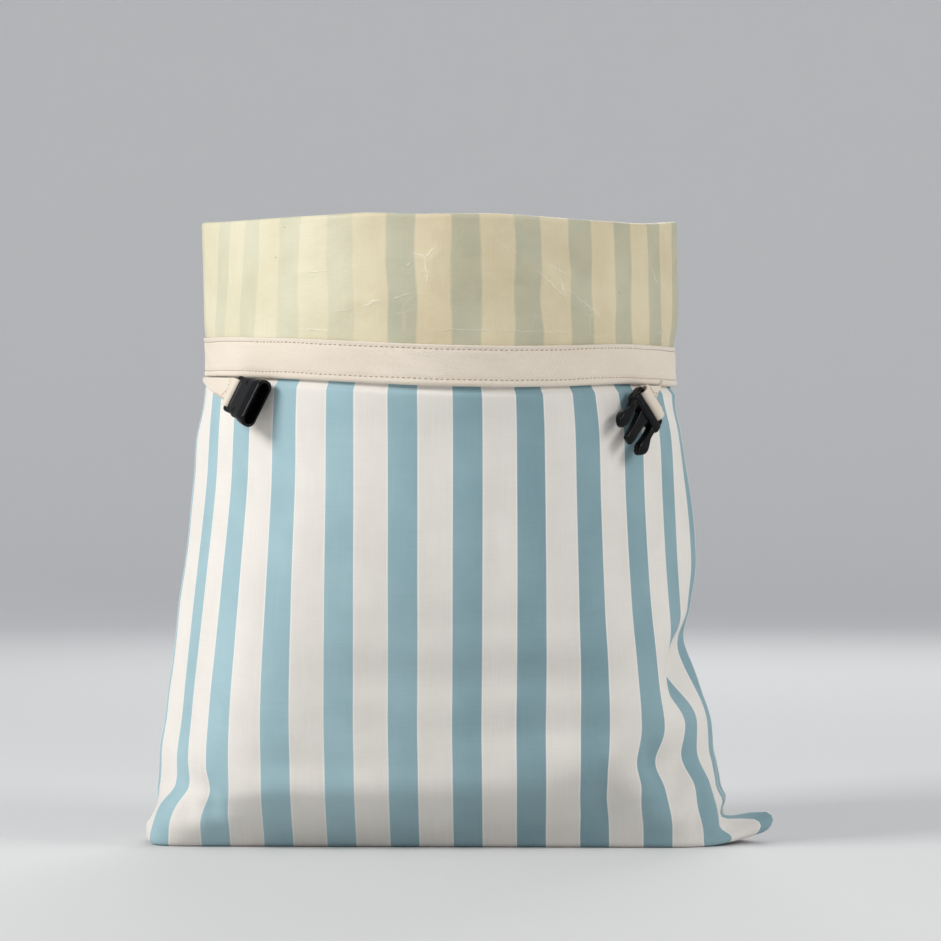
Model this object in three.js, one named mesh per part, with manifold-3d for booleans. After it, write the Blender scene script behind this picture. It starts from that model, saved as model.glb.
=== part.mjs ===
// Linen bread bag: a striped bag with a waxed lining, its top turned down as a cuff that ends in a cream
// tape band, with one half of a side-release buckle hanging from a tape tab at each end of the band.
// Millimetres, +Z up. The origin is in the middle of the flat base. The front faces -Y and +X is the
// viewer's right.
import * as THREE from 'three';
import { mergeVertices } from 'three/addons/utils/BufferGeometryUtils.js';
import Module from 'manifold-3d';

const wasm = await Module();
wasm.setup();

// ---- Driving sizes ------------------------------------------------------------------------------------
const STRIPE_PITCH = 34.6; // one blue and one white stripe, measured round the bag
const SEAM_LEFT = 0.35; // places round the bag are counted in stripe pitches
const SEAM_RIGHT = 11.25;
const MIDDLE = 6.2; // the stripe place that stands at the middle of the front
const CLOTH = 1.0; // thickness of the linen, and of the lining
const PLY_GAP = 0.3; // between linen and lining, and between any two pieces that touch
const TURN_RADIUS = 1.85; // of the linen where it turns over at the mouth
const RIM = { left: 345.2, front: 342.3, right: 346.3 }; // height of the mouth
const BAND_FOOT = { left: 259, front: 250.5, right: 253.7 }; // height of the band's lower edge
const LOWEST = 5.7; // stripe place where mouth and band hang lowest
const BAND_LEVEL = 250; // the rows of LEVELS that belong to the band's foot and to the mouth
const MOUTH_LEVEL = 345;
const BAND_HEIGHT = 22.6;
const BAND_BACK_HEIGHT = 19.5;
const TAPE = 1.0; // thickness of the cream tape
const BASE_RUNGS = 3; // rows of points across the base, between its front and back edges
const END_DRAW = 9; // how far the base's points are drawn in from its blunt left end, halved at each column

const SHEETS = 2 * CLOTH + PLY_GAP; // linen and lining together
const INSET = SHEETS + 2 * TURN_RADIUS; // how far the wall stands inside the face of the cuff
const LEAN = { below: 17, run: 15 }; // the wall leans in to that, from `below` the band's foot up
const CREASE_LIMIT = 0.62; // how sharp a crease the sheets' offset still allows for

const smooth = (t) => THREE.MathUtils.smoothstep(t, 0, 1);
const mix = THREE.MathUtils.lerp;
const radians = THREE.MathUtils.degToRad;

// Rows of numbers under named columns.
function table(columns, ...rows) {
  return rows.map((row) => Object.fromEntries(columns.map((column, i) => [column, row[i]])));
}

// ---- Outline of the bag -------------------------------------------------------------------------------
// Each row is one level cut. Going round from the middle of the front, the cloth turns through `leftTurn`
// degrees by the left seam and `rightTurn` by the right one. Each turn is centred at a stripe place
// (`leftCorner`, `rightCorner`) and spread over `leftSoft`, `rightSoft` pitches to either side of it.
const LEVELS = table(
  ['z', 'middleX', 'leftTurn', 'leftCorner', 'leftSoft', 'rightTurn', 'rightCorner', 'rightSoft'],
  [0, -2.2, 86, 1.1, 0.8, 60, 9.9, 0.55],
  [11, -2.4, 86, 1.35, 1.1, 65, 9.9, 0.7],
  [21, -2.5, 78, 1.7, 1.5, 71, 9.8, 0.9],
  [32, -2.6, 64, 2.3, 1.1, 75, 9.55, 1.2],
  [48, -2.8, 65, 2.3, 1.1, 72, 9.2, 1.8],
  [67, -3.0, 70, 2.4, 1.5, 71, 9.25, 1.7],
  [86, -2.9, 73, 2.4, 2.0, 70, 9.0, 1.4],
  [110, -2.6, 76, 2.65, 2.5, 86, 9.15, 2.4],
  [140, -2.6, 77, 2.8, 2.9, 75, 8.7, 3.0],
  [190, -2.4, 77, 3.05, 3.3, 72, 8.4, 3.4],
  [225, -2.4, 78, 3.1, 3.4, 81, 8.6, 4.0],
  [250, -2.6, 76, 3.3, 3.5, 69, 7.9, 3.5],
  [345, -3.6, 65, 4.1, 3.4, 68, 7.7, 3.9],
);

// Upright folds. Each is a soft valley (turn above 0) or ridge (below 0) that fades out at `low` and `high`.
// Its middle is at stripe place `at` half way up, and moves by `drift` pitches from its foot to its top.
const FOLDS = table(
  ['side', 'at', 'drift', 'width', 'turn', 'low', 'high'],
  ['front', 10.3, -0.3, 0.4, 34, 74, 122],
  ['front', 9.45, 0, 0.4, 24, 10, 66],
  ['front', 8.5, 0.3, 0.35, 24, 4, 54],
  ['front', 1.9, -0.3, 0.35, 12, 6, 44],
  ['front', 4.3, 0.8, 0.9, 4, 20, 230],
  ['back', 3.2, -0.8, 0.8, 12, 14, 210],
  ['back', 6.4, 0.9, 1.0, -7, 20, 240],
  ['back', 9.2, 0.6, 0.7, 14, 10, 190],
  ['back', 10.3, -0.3, 0.4, 24, 74, 122],
);

// The right bottom corner is pulled out along the floor. Each row is one turn of the cloth round that corner:
// how far its seam point is moved right, back and up, and how far round from the seam the pull is felt.
const RIGHT_EAR = table(
  ['z', 'reach', 'back', 'lift', 'spread'],
  [0, 24, -12, 8.7, 46],
  [4, 17, -6, 12, 34],
  [9, -3, -1, 0.5, 26],
  [15, 0, 0, 0, 20],
);

// ---- Points round the bag, and levels up it -----------------------------------------------------------
const PLACES = [
  SEAM_LEFT, 0.65, 1.0, 1.4, 1.85, 2.4, 3.1, 3.8, 4.6, 5.4, MIDDLE,
  7.0, 7.7, 8.3, 8.75, 9.15, 9.5, 9.85, 10.15, 10.5, 10.85, SEAM_RIGHT,
];
const FLOOR_LEVELS = [0, 4, 9, 15, 24, 34, 45, 56, 67, 78, 90, 102, 114, 128, 146, 168, 190, 212, 230];

// A column of a table at height z, on a smooth curve through its rows (Catmull-Rom).
function columnAt(rows, column, z) {
  let i = 0;
  while (i < rows.length - 2 && z > rows[i + 1].z) i += 1;
  const a = rows[i];
  const b = rows[i + 1];
  const before = rows[Math.max(i - 1, 0)];
  const after = rows[Math.min(i + 2, rows.length - 1)];
  const span = b.z - a.z;
  const t = THREE.MathUtils.clamp((z - a.z) / span, 0, 1);
  const slopeA = ((b[column] - before[column]) / (b.z - before.z)) * span;
  const slopeB = ((after[column] - a[column]) / (after.z - a.z)) * span;
  const t2 = t * t;
  const t3 = t2 * t;
  return (2 * t3 - 3 * t2 + 1) * a[column] + (t3 - 2 * t2 + t) * slopeA
    + (3 * t2 - 2 * t3) * b[column] + (t3 - t2) * slopeB;
}

// The direction in which the cloth runs at a stripe place, in degrees from +X towards the back.
function clothTurn(side, place, z, level) {
  let turn = -level.leftTurn * smooth(((level.leftCorner - place) / level.leftSoft + 1) / 2);
  turn += level.rightTurn * smooth(((place - level.rightCorner) / level.rightSoft + 1) / 2);
  for (const fold of FOLDS) {
    const within = z > fold.low && z < fold.high;
    if (fold.side !== side || !within) continue;
    const rise = (z - fold.low) / (fold.high - fold.low);
    const t = (place - fold.at - fold.drift * (rise - 0.5)) / fold.width;
    turn -= fold.turn * Math.sin(Math.PI * rise) ** 2 * t * Math.exp((1 - t * t) / 2);
  }
  return turn;
}

const STEPS = 320;
const STEP = (SEAM_RIGHT - SEAM_LEFT) / STEPS;

// Half of a level cut, as points a step apart from the left seam to the right one: the cloth's direction is
// summed along it, so that its length is always that of the cut cloth.
function runOfCloth(side, z) {
  const level = {};
  for (const column of Object.keys(LEVELS[0])) level[column] = columnAt(LEVELS, column, z);
  const x = [0];
  const y = [0];
  for (let i = 0; i < STEPS; i += 1) {
    const turn = radians(clothTurn(side, SEAM_LEFT + (i + 0.5) * STEP, z, level));
    x.push(x[i] + Math.cos(turn) * STEP * STRIPE_PITCH);
    y.push(y[i] + Math.sin(turn) * STEP * STRIPE_PITCH);
  }
  const middle = level.middleX - x[Math.round((MIDDLE - SEAM_LEFT) / STEP)];
  return { x: x.map((v) => v + middle), y };
}

// A level cut: front and back halves that meet at both seams, on the line y = 0.
const cuts = new Map();
function levelCut(z) {
  const key = z.toFixed(3);
  if (!cuts.has(key)) {
    const front = runOfCloth('front', z);
    const back = runOfCloth('back', z);
    const frontEnd = front.y[STEPS];
    front.y = front.y.map((v, i) => v - (frontEnd * i) / STEPS);
    const missX = [front.x[0] - back.x[0], front.x[STEPS] - back.x[STEPS]];
    const backEnd = back.y[STEPS];
    back.x = back.x.map((v, i) => v + mix(missX[0], missX[1], i / STEPS));
    back.y = back.y.map((v, i) => (backEnd * i) / STEPS - v);
    cuts.set(key, { front, back });
  }
  return cuts.get(key);
}

// A point of one level cut, `out` millimetres outside it. At a seam the way out is shared by front and back,
// and longer, because their faces meet there at an angle.
function cutPoint(side, place, level, out) {
  const run = levelCut(level)[side];
  const at = THREE.MathUtils.clamp((place - SEAM_LEFT) / STEP, 0, STEPS);
  const i = Math.min(Math.floor(at), STEPS - 1);
  const flip = side === 'front' ? 1 : -1;
  const dx = run.x[i + 1] - run.x[i];
  const dy = run.y[i + 1] - run.y[i];
  const away = new THREE.Vector3(dy * flip, -dx * flip, 0).normalize();
  if (at < 1 || at > STEPS - 1) away.set(1 / Math.max(Math.abs(away.x), 0.5) * Math.sign(away.x), 0, 0);
  return new THREE.Vector3(mix(run.x[i], run.x[i + 1], at - i), mix(run.y[i], run.y[i + 1], at - i), 0)
    .addScaledVector(away, out);
}

// Heights that sag at the front: the mouth and the band.
function sagging(heights, place) {
  const left = ((LOWEST - place) / (LOWEST - SEAM_LEFT)) ** 2;
  const right = ((place - LOWEST) / (SEAM_RIGHT - LOWEST)) ** 2;
  return place < LOWEST ? mix(heights.front, heights.left, left) : mix(heights.front, heights.right, right);
}

// A point of the outline at a stripe place and height, `out` millimetres outside it. The wall follows the
// level cuts. From the band's foot to the mouth the cuff runs straight.
function outlinePoint(side, place, z, out = 0) {
  const foot = sagging(BAND_FOOT, place);
  const t = Math.max(0, (z - foot) / (sagging(RIM, place) - foot));
  const point = cutPoint(side, place, BAND_LEVEL * Math.min(1, z / foot), out);
  if (t > 0) point.lerp(cutPoint(side, place, MOUTH_LEVEL, out), t);
  return point.setZ(z);
}

// The pull on the right bottom corner, `round` millimetres of cloth away from its seam.
function earPull(place, z) {
  const last = RIGHT_EAR[RIGHT_EAR.length - 1];
  if (z >= last.z) return new THREE.Vector3();
  const round = (SEAM_RIGHT - place) * STRIPE_PITCH;
  const share = Math.max(0, 1 - round / columnAt(RIGHT_EAR, 'spread', z));
  return new THREE.Vector3(
    columnAt(RIGHT_EAR, 'reach', z) * share,
    columnAt(RIGHT_EAR, 'back', z) * share,
    columnAt(RIGHT_EAR, 'lift', z) * share ** 1.6,
  );
}

// The path that the linen's outer face takes up the wall, over the mouth and down the cuff. Each stop gives
// its height over the floor, the band's foot or the mouth, and how far outside the outline it is.
function clothStops(place) {
  const foot = sagging(BAND_FOOT, place);
  const rim = sagging(RIM, place);
  const turnZ = rim - SHEETS - TURN_RADIUS;
  const stops = FLOOR_LEVELS.map((z) => ({ z, out: 0 }));
  const inset = (z) => -INSET * smooth((z - (foot - LEAN.below)) / LEAN.run);
  for (const z of [foot - 11, foot - 5, foot + 2]) stops.push({ z, out: inset(z) });
  for (const t of [0.3, 0.65]) stops.push({ z: mix(foot, turnZ, t), out: -INSET });
  for (let i = 0; i <= 4; i += 1) {
    const angle = (Math.PI * i) / 4;
    stops.push({
      z: turnZ + TURN_RADIUS * Math.sin(angle),
      out: -SHEETS - TURN_RADIUS * (1 + Math.cos(angle)),
    });
  }
  for (const t of [0.7, 0.38]) stops.push({ z: mix(foot, turnZ, t), out: -SHEETS });
  stops.push({ z: foot + 12, out: -SHEETS }, { z: foot + TAPE + 2 * PLY_GAP, out: -SHEETS });
  return stops;
}

// ---- Cloth --------------------------------------------------------------------------------------------
// Columns run from the left seam across the front to the right seam, and back across the back.
const COLUMNS = [
  ...PLACES.map((place) => ({ side: 'front', place })),
  ...PLACES.slice(1, -1).reverse().map((place) => ({ side: 'back', place })),
];

// The linen's outer face as points and triangles: the rings of the wall, the ladder of the base, which joins
// the front half of the lowest ring to its back half, and the last ring, which is the cloth's raw edge.
function clothFace() {
  const points = [];
  const triangles = [];
  const width = COLUMNS.length;
  const half = PLACES.length - 1;
  const stops = COLUMNS.map(({ place }) => clothStops(place));
  const rings = stops[0].length;
  for (let ring = 0; ring < rings; ring += 1) {
    COLUMNS.forEach(({ side, place }, column) => {
      const stop = stops[column][ring];
      points.push(outlinePoint(side, place, stop.z, stop.out).add(earPull(place, stop.z)));
    });
  }
  for (let ring = 0; ring < rings - 1; ring += 1) {
    for (let column = 0; column < width; column += 1) {
      const a = ring * width + column;
      const b = ring * width + ((column + 1) % width);
      triangles.push([a, b, b + width], [a, b + width, a + width]);
    }
  }
  const ladder = (column, rung) => {
    const across = (width - column) % width;
    if (column === 0 || column === half || rung === 0) return column;
    if (rung === BASE_RUNGS + 1) return across;
    return rings * width + (column - 1) * BASE_RUNGS + rung - 1;
  };
  for (let column = 1; column < half; column += 1) {
    for (let rung = 1; rung <= BASE_RUNGS; rung += 1) {
      const across = rung / (BASE_RUNGS + 1);
      const point = points[column].clone().lerp(points[width - column], across);
      point.x += END_DRAW / 2 ** column * Math.sin(Math.PI * across);
      points.push(point);
    }
  }
  for (let column = 0; column < half; column += 1) {
    for (let rung = 0; rung <= BASE_RUNGS; rung += 1) {
      const near = [ladder(column, rung), ladder(column, rung + 1)];
      const far = [ladder(column + 1, rung + 1), ladder(column + 1, rung)];
      const corners = [...near, ...far];
      for (const [i, j, k] of [[0, 1, 2], [0, 2, 3]]) {
        const triangle = [corners[i], corners[j], corners[k]];
        if (new Set(triangle).size === 3) triangles.push(triangle);
      }
    }
  }
  const edge = COLUMNS.map((_, column) => (rings - 1) * width + column);
  return { points, triangles, edge };
}

// How far each point of a face moves for one millimetre of offset into the bag. It is the mean of the
// directions of the triangles round it, made longer at creases so that the layers keep their distance.
function offsetDirections({ points, triangles }) {
  const sums = points.map(() => new THREE.Vector3());
  const around = points.map(() => []);
  for (const triangle of triangles) {
    const [a, b, c] = triangle.map((i) => points[i]);
    const normal = b.clone().sub(a).cross(c.clone().sub(a)).normalize();
    triangle.forEach((index, corner) => {
      const here = points[index];
      const toNext = points[triangle[(corner + 1) % 3]].clone().sub(here);
      const toLast = points[triangle[(corner + 2) % 3]].clone().sub(here);
      sums[index].addScaledVector(normal, toNext.angleTo(toLast));
      around[index].push(normal);
    });
  }
  return sums.map((sum, index) => {
    const direction = sum.normalize();
    const least = Math.min(...around[index].map((normal) => normal.dot(direction)));
    return direction.divideScalar(-Math.max(least, CREASE_LIMIT));
  });
}

// A sheet between two offsets of the cloth face, closed along the raw edge.
function sheetGeometry(face, directions, outer, inner) {
  const count = face.points.length;
  const layer = (depth) => face.points.map((p, i) => p.clone().addScaledVector(directions[i], depth));
  const triangles = [...face.triangles];
  for (const [a, b, c] of face.triangles) triangles.push([a + count, c + count, b + count]);
  face.edge.forEach((a, i) => {
    const b = face.edge[(i + 1) % face.edge.length];
    triangles.push([a, b, b + count], [a, b + count, a + count]);
  });
  return meshGeometry([...layer(outer), ...layer(inner)], triangles);
}

function meshGeometry(points, triangles) {
  const geometry = new THREE.BufferGeometry().setFromPoints(points);
  geometry.setIndex(triangles.flat());
  geometry.computeVertexNormals();
  return geometry;
}

// A closed ring or a capped strip swept through stations, each a list of the section's corners in order.
function sweptGeometry(stations, closed) {
  const corners = stations[0].length;
  const points = stations.flat();
  const triangles = [];
  const spans = closed ? stations.length : stations.length - 1;
  for (let i = 0; i < spans; i += 1) {
    const here = i * corners;
    const next = ((i + 1) % stations.length) * corners;
    for (let k = 0; k < corners; k += 1) {
      const l = (k + 1) % corners;
      triangles.push([here + k, here + l, next + l], [here + k, next + l, next + k]);
    }
  }
  if (!closed) {
    const last = (stations.length - 1) * corners;
    for (let k = 1; k < corners - 1; k += 1) {
      triangles.push([0, k + 1, k], [last, last + k, last + k + 1]);
    }
  }
  return meshGeometry(points, triangles);
}

// ---- Mouth band ---------------------------------------------------------------------------------------
// Tape folded over the cloth's raw edge, all round the cuff: a U that opens upwards.
function bandGeometry() {
  const faceOut = PLY_GAP + TAPE;
  const backOut = -SHEETS - PLY_GAP - TAPE;
  const stations = COLUMNS.map(({ side, place }) => {
    const foot = sagging(BAND_FOOT, place);
    const section = [
      [faceOut - 0.5, 0], [faceOut, 0.6], [faceOut, BAND_HEIGHT], [PLY_GAP, BAND_HEIGHT], [PLY_GAP, TAPE],
      [backOut + TAPE, TAPE], [backOut + TAPE, BAND_BACK_HEIGHT], [backOut, BAND_BACK_HEIGHT], [backOut, 0],
    ];
    return section.map(([out, up]) => outlinePoint(side, place, foot + up, out));
  });
  return sweptGeometry(stations.reverse(), true);
}

// ---- Solids that are cut and joined -------------------------------------------------------------------
function toSolid(geometry) {
  const bare = geometry.clone();
  bare.deleteAttribute('normal');
  bare.deleteAttribute('uv');
  const merged = mergeVertices(bare, 1e-4);
  return new wasm.Manifold(new wasm.Mesh({
    numProp: 3,
    vertProperties: new Float32Array(merged.attributes.position.array),
    triVerts: new Uint32Array(merged.index.array),
  }));
}

function toGeometry(solid) {
  const mesh = solid.getMesh();
  const geometry = new THREE.BufferGeometry();
  geometry.setAttribute('position', new THREE.BufferAttribute(new Float32Array(mesh.vertProperties), 3));
  geometry.setIndex(Array.from(mesh.triVerts));
  geometry.computeVertexNormals();
  return geometry;
}

// An outline in the plane of two of a buckle's axes, made thick along the third. A buckle has its own axes:
// X forward from its bar, Y across its width (upwards on the bag) and Z away from the cloth.
const ALONG = {
  forward: new THREE.Matrix4().makeBasis(
    new THREE.Vector3(0, 1, 0), new THREE.Vector3(0, 0, 1), new THREE.Vector3(1, 0, 0),
  ),
  across: new THREE.Matrix4().makeBasis(
    new THREE.Vector3(0, 0, 1), new THREE.Vector3(1, 0, 0), new THREE.Vector3(0, 1, 0),
  ),
  thick: new THREE.Matrix4(),
};

function slab(shape, axis, from, to, curveSegments = 5) {
  const options = { depth: to - from, bevelEnabled: false, curveSegments };
  const geometry = new THREE.ExtrudeGeometry(shape, options);
  return toSolid(geometry.translate(0, 0, from).applyMatrix4(ALONG[axis]));
}

function roundedBox(width, height, radius, centreX = 0, centreY = 0) {
  const shape = new THREE.Shape();
  const x = width / 2;
  const y = height / 2;
  shape.moveTo(centreX - x + radius, centreY - y);
  shape.lineTo(centreX + x - radius, centreY - y);
  shape.absarc(centreX + x - radius, centreY - y + radius, radius, -Math.PI / 2, 0);
  shape.absarc(centreX + x - radius, centreY + y - radius, radius, 0, Math.PI / 2);
  shape.absarc(centreX - x + radius, centreY + y - radius, radius, Math.PI / 2, Math.PI);
  shape.absarc(centreX - x + radius, centreY - y + radius, radius, Math.PI, Math.PI * 1.5);
  return shape;
}

function disc(radius) {
  const shape = new THREE.Shape();
  shape.absarc(0, 0, radius, 0, Math.PI * 2);
  return shape;
}

// ---- Buckle and tabs ----------------------------------------------------------------------------------
const BUCKLE = { width: 27, thick: 9, round: 4.3 };
const BAR = { radius: 1.3, cheek: 2.2, cheekThick: 4.6, cheekLength: 9.5, back: -2.2 };
const SOCKET = { start: 5.5, mouth: 24.5, slotWidth: 21, slotThick: 5.2, slotDepth: 15 };
const WINDOW = { length: 7, after: 3.5, thick: 3.4, round: 1.5 }; // the openings in the socket's two sides
const NOTCH = { length: 4, width: 5, depth: 1.2 };
const PLUG = { from: 5, to: 9.5, thick: 6.4, armRoot: 8.2, armTip: 29, armThick: 4.2 };
const GUIDE = { tip: 31, width: 4.4, thick: 3, overlap: 2 };
const TAB = { width: 22, thick: 2 * TAPE, eyeOuter: 2.9, eyeInner: 1.7, rise: 16, off: 0.6, stations: 8 };
const KEEP_OUT = { inside: -14, outside: 20, height: 60 }; // the space over the band's foot, round the bag

// Where each half lies: the stripe place and height of its bar's middle, how far the bar stands off the
// outline, which way round the bag it points, and how far it is pitched down and rolled away from the cloth.
const HANGS = table(
  ['half', 'tab', 'place', 'z', 'stand', 'way', 'pitch', 'roll', 'tabLength'],
  ['buckle_socket', 'left_tab', 2.12, 241.3, 6.6, 1, 14, 10, 46],
  ['buckle_plug', 'right_tab', 9.72, 240.5, 5.0, -1, 38, 0, 34],
);

// The frame of the cloth at a point, turned by a pitch in the cloth's plane and a roll about the way forward.
function clothFrame(place, z, out, way, pitch, roll) {
  const point = (round, up) => outlinePoint('front', place + round, z + up);
  const origin = outlinePoint('front', place, z, out);
  const round = point(0.2, 0).sub(point(-0.2, 0)).normalize();
  const slope = point(0, 6).sub(point(0, -6)).normalize();
  const away = round.clone().cross(slope).normalize();
  const forward = round.multiplyScalar(way).applyAxisAngle(away, -way * radians(pitch));
  const up = away.clone().cross(forward).multiplyScalar(way);
  up.applyAxisAngle(forward, way * radians(roll));
  away.applyAxisAngle(forward, way * radians(roll));
  return { origin, forward, up, away };
}

// The two cheeks and the bar that the tape is looped round.
function barFrame() {
  const inner = BUCKLE.width / 2 - BAR.cheek;
  const cheek = roundedBox(BAR.cheekThick, BAR.cheekLength, 2, 0, BAR.back + BAR.cheekLength / 2);
  const left = slab(cheek, 'across', inner, inner + BAR.cheek, 4);
  const right = slab(cheek, 'across', -inner - BAR.cheek, -inner, 4);
  return left.add(right).add(slab(disc(BAR.radius), 'across', -inner - 1, inner + 1, 5));
}

function socketSolid() {
  const { start, mouth } = SOCKET;
  const slotStart = mouth - SOCKET.slotDepth;
  const shell = slab(roundedBox(BUCKLE.width, BUCKLE.thick, BUCKLE.round), 'forward', start, mouth, 6);
  const slotShape = roundedBox(SOCKET.slotWidth, SOCKET.slotThick, 1.6);
  const windowShape = roundedBox(
    WINDOW.length, 1.2 * BUCKLE.width, WINDOW.round, slotStart + WINDOW.after, 0,
  );
  const notchShape = roundedBox(NOTCH.length, NOTCH.width, NOTCH.depth, start + NOTCH.length / 8, 0);
  return shell.add(barFrame())
    .subtract(slab(slotShape, 'forward', slotStart, mouth + 1, 3))
    .subtract(slab(windowShape, 'thick', -WINDOW.thick / 2, WINDOW.thick / 2, 3))
    .subtract(slab(notchShape, 'thick', BUCKLE.thick / 2 - NOTCH.depth, BUCKLE.thick, 3));
}

// One side arm: a slim leg that leaves the block and ends in a wide catch. The points are counted forward
// from the block's front and outward from the inner side of the leg's root.
function armShape(sign) {
  const shape = new THREE.Shape();
  const at = (forward, out) => [PLUG.to - 1 + forward, (PLUG.armRoot + out) * sign];
  const tip = PLUG.armTip - PLUG.to + 1;
  shape.moveTo(...at(0, 0));
  shape.quadraticCurveTo(...at(7.5, 0), ...at(11.5, 0.2));
  shape.lineTo(...at(tip - 1.5, -0.4));
  shape.quadraticCurveTo(...at(tip + 0.5, 1.2), ...at(tip - 1.2, 3.4));
  shape.quadraticCurveTo(...at(tip - 5, 5.3), ...at(10, 5.2));
  shape.lineTo(...at(9.5, 2.8));
  shape.quadraticCurveTo(...at(5.5, 2.6), ...at(0, 2.8));
  return shape;
}

function plugSolid() {
  const { from, to, thick, armThick } = PLUG;
  const guideFrom = to - GUIDE.overlap;
  const guide = roundedBox(GUIDE.tip - guideFrom, GUIDE.width, 2, (GUIDE.tip + guideFrom) / 2, 0);
  return slab(roundedBox(BUCKLE.width - 1, thick, 2.6), 'forward', from, to, 4)
    .add(barFrame())
    .add(slab(guide, 'thick', -GUIDE.thick / 2, GUIDE.thick / 2, 4))
    .add(slab(armShape(1), 'thick', -armThick / 2, armThick / 2, 3))
    .add(slab(armShape(-1), 'thick', -armThick / 2, armThick / 2, 3));
}

function placed(solid, { origin, forward, away }) {
  const across = away.clone().cross(forward);
  const matrix = new THREE.Matrix4().makeBasis(forward, across, away).setPosition(origin);
  return toGeometry(solid).applyMatrix4(matrix);
}

// Everything close above the band's foot, where a tab is out of sight and sewn to the band.
function bandKeepOut() {
  const { inside, outside, height } = KEEP_OUT;
  const section = [[outside, 0], [outside, height], [inside, height], [inside, 0]];
  const stations = COLUMNS.map(({ side, place }) => {
    const foot = sagging(BAND_FOOT, place) - PLY_GAP;
    return section.map(([out, up]) => outlinePoint(side, place, foot, out).setZ(foot + up));
  });
  return toSolid(sweptGeometry(stations.reverse(), true));
}

// A tab: tape that lies on the cloth, rises to the bar and is looped round it in an eye.
function tabGeometry(hang, bar, keepOut) {
  const stations = [];
  const rest = TAB.thick / 2 + TAB.off;
  for (let i = 0; i <= TAB.stations; i += 1) {
    const back = mix(1, hang.tabLength, i / TAB.stations);
    const place = hang.place - (hang.way * back * Math.cos(radians(hang.pitch))) / STRIPE_PITCH;
    const z = hang.z + back * Math.sin(radians(hang.pitch));
    const settle = smooth(back / TAB.rise);
    const lying = clothFrame(place, z, mix(hang.stand, rest, settle), hang.way, hang.pitch, 0);
    const centre = bar.origin.clone().addScaledVector(bar.forward, -back).lerp(lying.origin, settle);
    const up = bar.up.clone().lerp(lying.up, settle).normalize();
    const away = bar.away.clone().lerp(lying.away, settle).normalize();
    stations.push([[1, 1], [-1, 1], [-1, -1], [1, -1]].map(([u, v]) => centre.clone()
      .addScaledVector(up, (u * TAB.width) / 2)
      .addScaledVector(away, (v * TAB.thick) / 2)));
  }
  if (hang.way > 0) stations.reverse();
  const eye = placed(slab(disc(TAB.eyeOuter), 'across', -TAB.width / 2, TAB.width / 2, 6), bar);
  const hole = placed(slab(disc(TAB.eyeInner), 'across', -TAB.width, TAB.width, 6), bar);
  const strip = toSolid(sweptGeometry(stations, false));
  return toGeometry(strip.add(toSolid(eye)).subtract(toSolid(hole)).subtract(keepOut));
}

// ---- Scene --------------------------------------------------------------------------------------------
const FINISHES = {
  linen: { color: 0xb9cfd6, roughness: 0.9 },
  lining: { color: 0xe3d9b8, roughness: 0.55 },
  tape: { color: 0xeadfc9, roughness: 0.85 },
  plastic: { color: 0x0c0c0e, roughness: 0.25 },
};

const bag = new THREE.Group();

function addPiece(name, geometry, finish) {
  const material = new THREE.MeshStandardMaterial({ ...FINISHES[finish], metalness: 0 });
  const mesh = new THREE.Mesh(geometry, material);
  mesh.name = name;
  bag.add(mesh);
}

const face = clothFace();
const inwards = offsetDirections(face);
addPiece('outer_cloth', sheetGeometry(face, inwards, 0, CLOTH), 'linen');
addPiece('lining', sheetGeometry(face, inwards, CLOTH + PLY_GAP, SHEETS), 'lining');
addPiece('mouth_band', bandGeometry(), 'tape');

const keepOut = bandKeepOut();
const HALVES = { buckle_socket: socketSolid(), buckle_plug: plugSolid() };
for (const hang of HANGS) {
  const bar = clothFrame(hang.place, hang.z, hang.stand, hang.way, hang.pitch, hang.roll);
  addPiece(hang.tab, tabGeometry(hang, bar, keepOut), 'tape');
  addPiece(hang.half, placed(HALVES[hang.half], bar), 'plastic');
}

export default bag;
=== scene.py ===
import math
from collections import namedtuple

import bpy
import numpy as np
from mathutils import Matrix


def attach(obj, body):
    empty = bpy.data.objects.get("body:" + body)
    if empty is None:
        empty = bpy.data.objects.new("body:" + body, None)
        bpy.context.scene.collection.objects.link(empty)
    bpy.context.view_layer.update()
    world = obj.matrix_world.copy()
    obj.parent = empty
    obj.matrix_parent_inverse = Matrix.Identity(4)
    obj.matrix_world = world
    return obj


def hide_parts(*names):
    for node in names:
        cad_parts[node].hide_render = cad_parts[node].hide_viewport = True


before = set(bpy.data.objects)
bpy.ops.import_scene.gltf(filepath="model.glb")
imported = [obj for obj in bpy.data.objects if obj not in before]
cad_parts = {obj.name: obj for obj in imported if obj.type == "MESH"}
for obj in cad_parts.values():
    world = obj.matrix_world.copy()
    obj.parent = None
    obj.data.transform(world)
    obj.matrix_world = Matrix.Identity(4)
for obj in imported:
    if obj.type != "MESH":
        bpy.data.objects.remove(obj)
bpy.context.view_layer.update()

# ---- Sizes, in millimetres ---------------------------------------------------------------------------
MM = 0.001
STRIPE_PITCH = 34.6  # one blue and one white stripe, round the bag
BLUE_SHARE = 0.457  # of a pitch
LINE_SHARE = 0.022  # of a pitch: the white line beside each blue stripe
SEAM_LEFT, SEAM_RIGHT, MIDDLE = 0.35, 11.25, 6.2  # places round the bag, in stripe pitches
CLOTH, PLY_GAP, TAPE = 0.6, 0.2, 0.8
TURN_RADIUS = 0.6
SHEETS = 2 * CLOTH + PLY_GAP
INSET = SHEETS + 2 * TURN_RADIUS
BAND_LEVEL, MOUTH_LEVEL = 250, 345
BAND_HEIGHT, BAND_BACK_HEIGHT = 21.4, 18.5
LEAN_BELOW, LEAN_RUN = 5.5, 5
BOTTOM_ROUND = 2.2
THREAD = 1.05  # pitch of the linen's yarns
COVE_FLAT, COVE_BEND, COVE_HEIGHT = 2800.0, 1600.0, 2000.0  # the floor's radius, its rise's run and height
STITCH_PITCH = 2.9
STITCH_SIZE = (2.0, 0.5, 0.32)  # length, width and height of a stitch on the band
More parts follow.
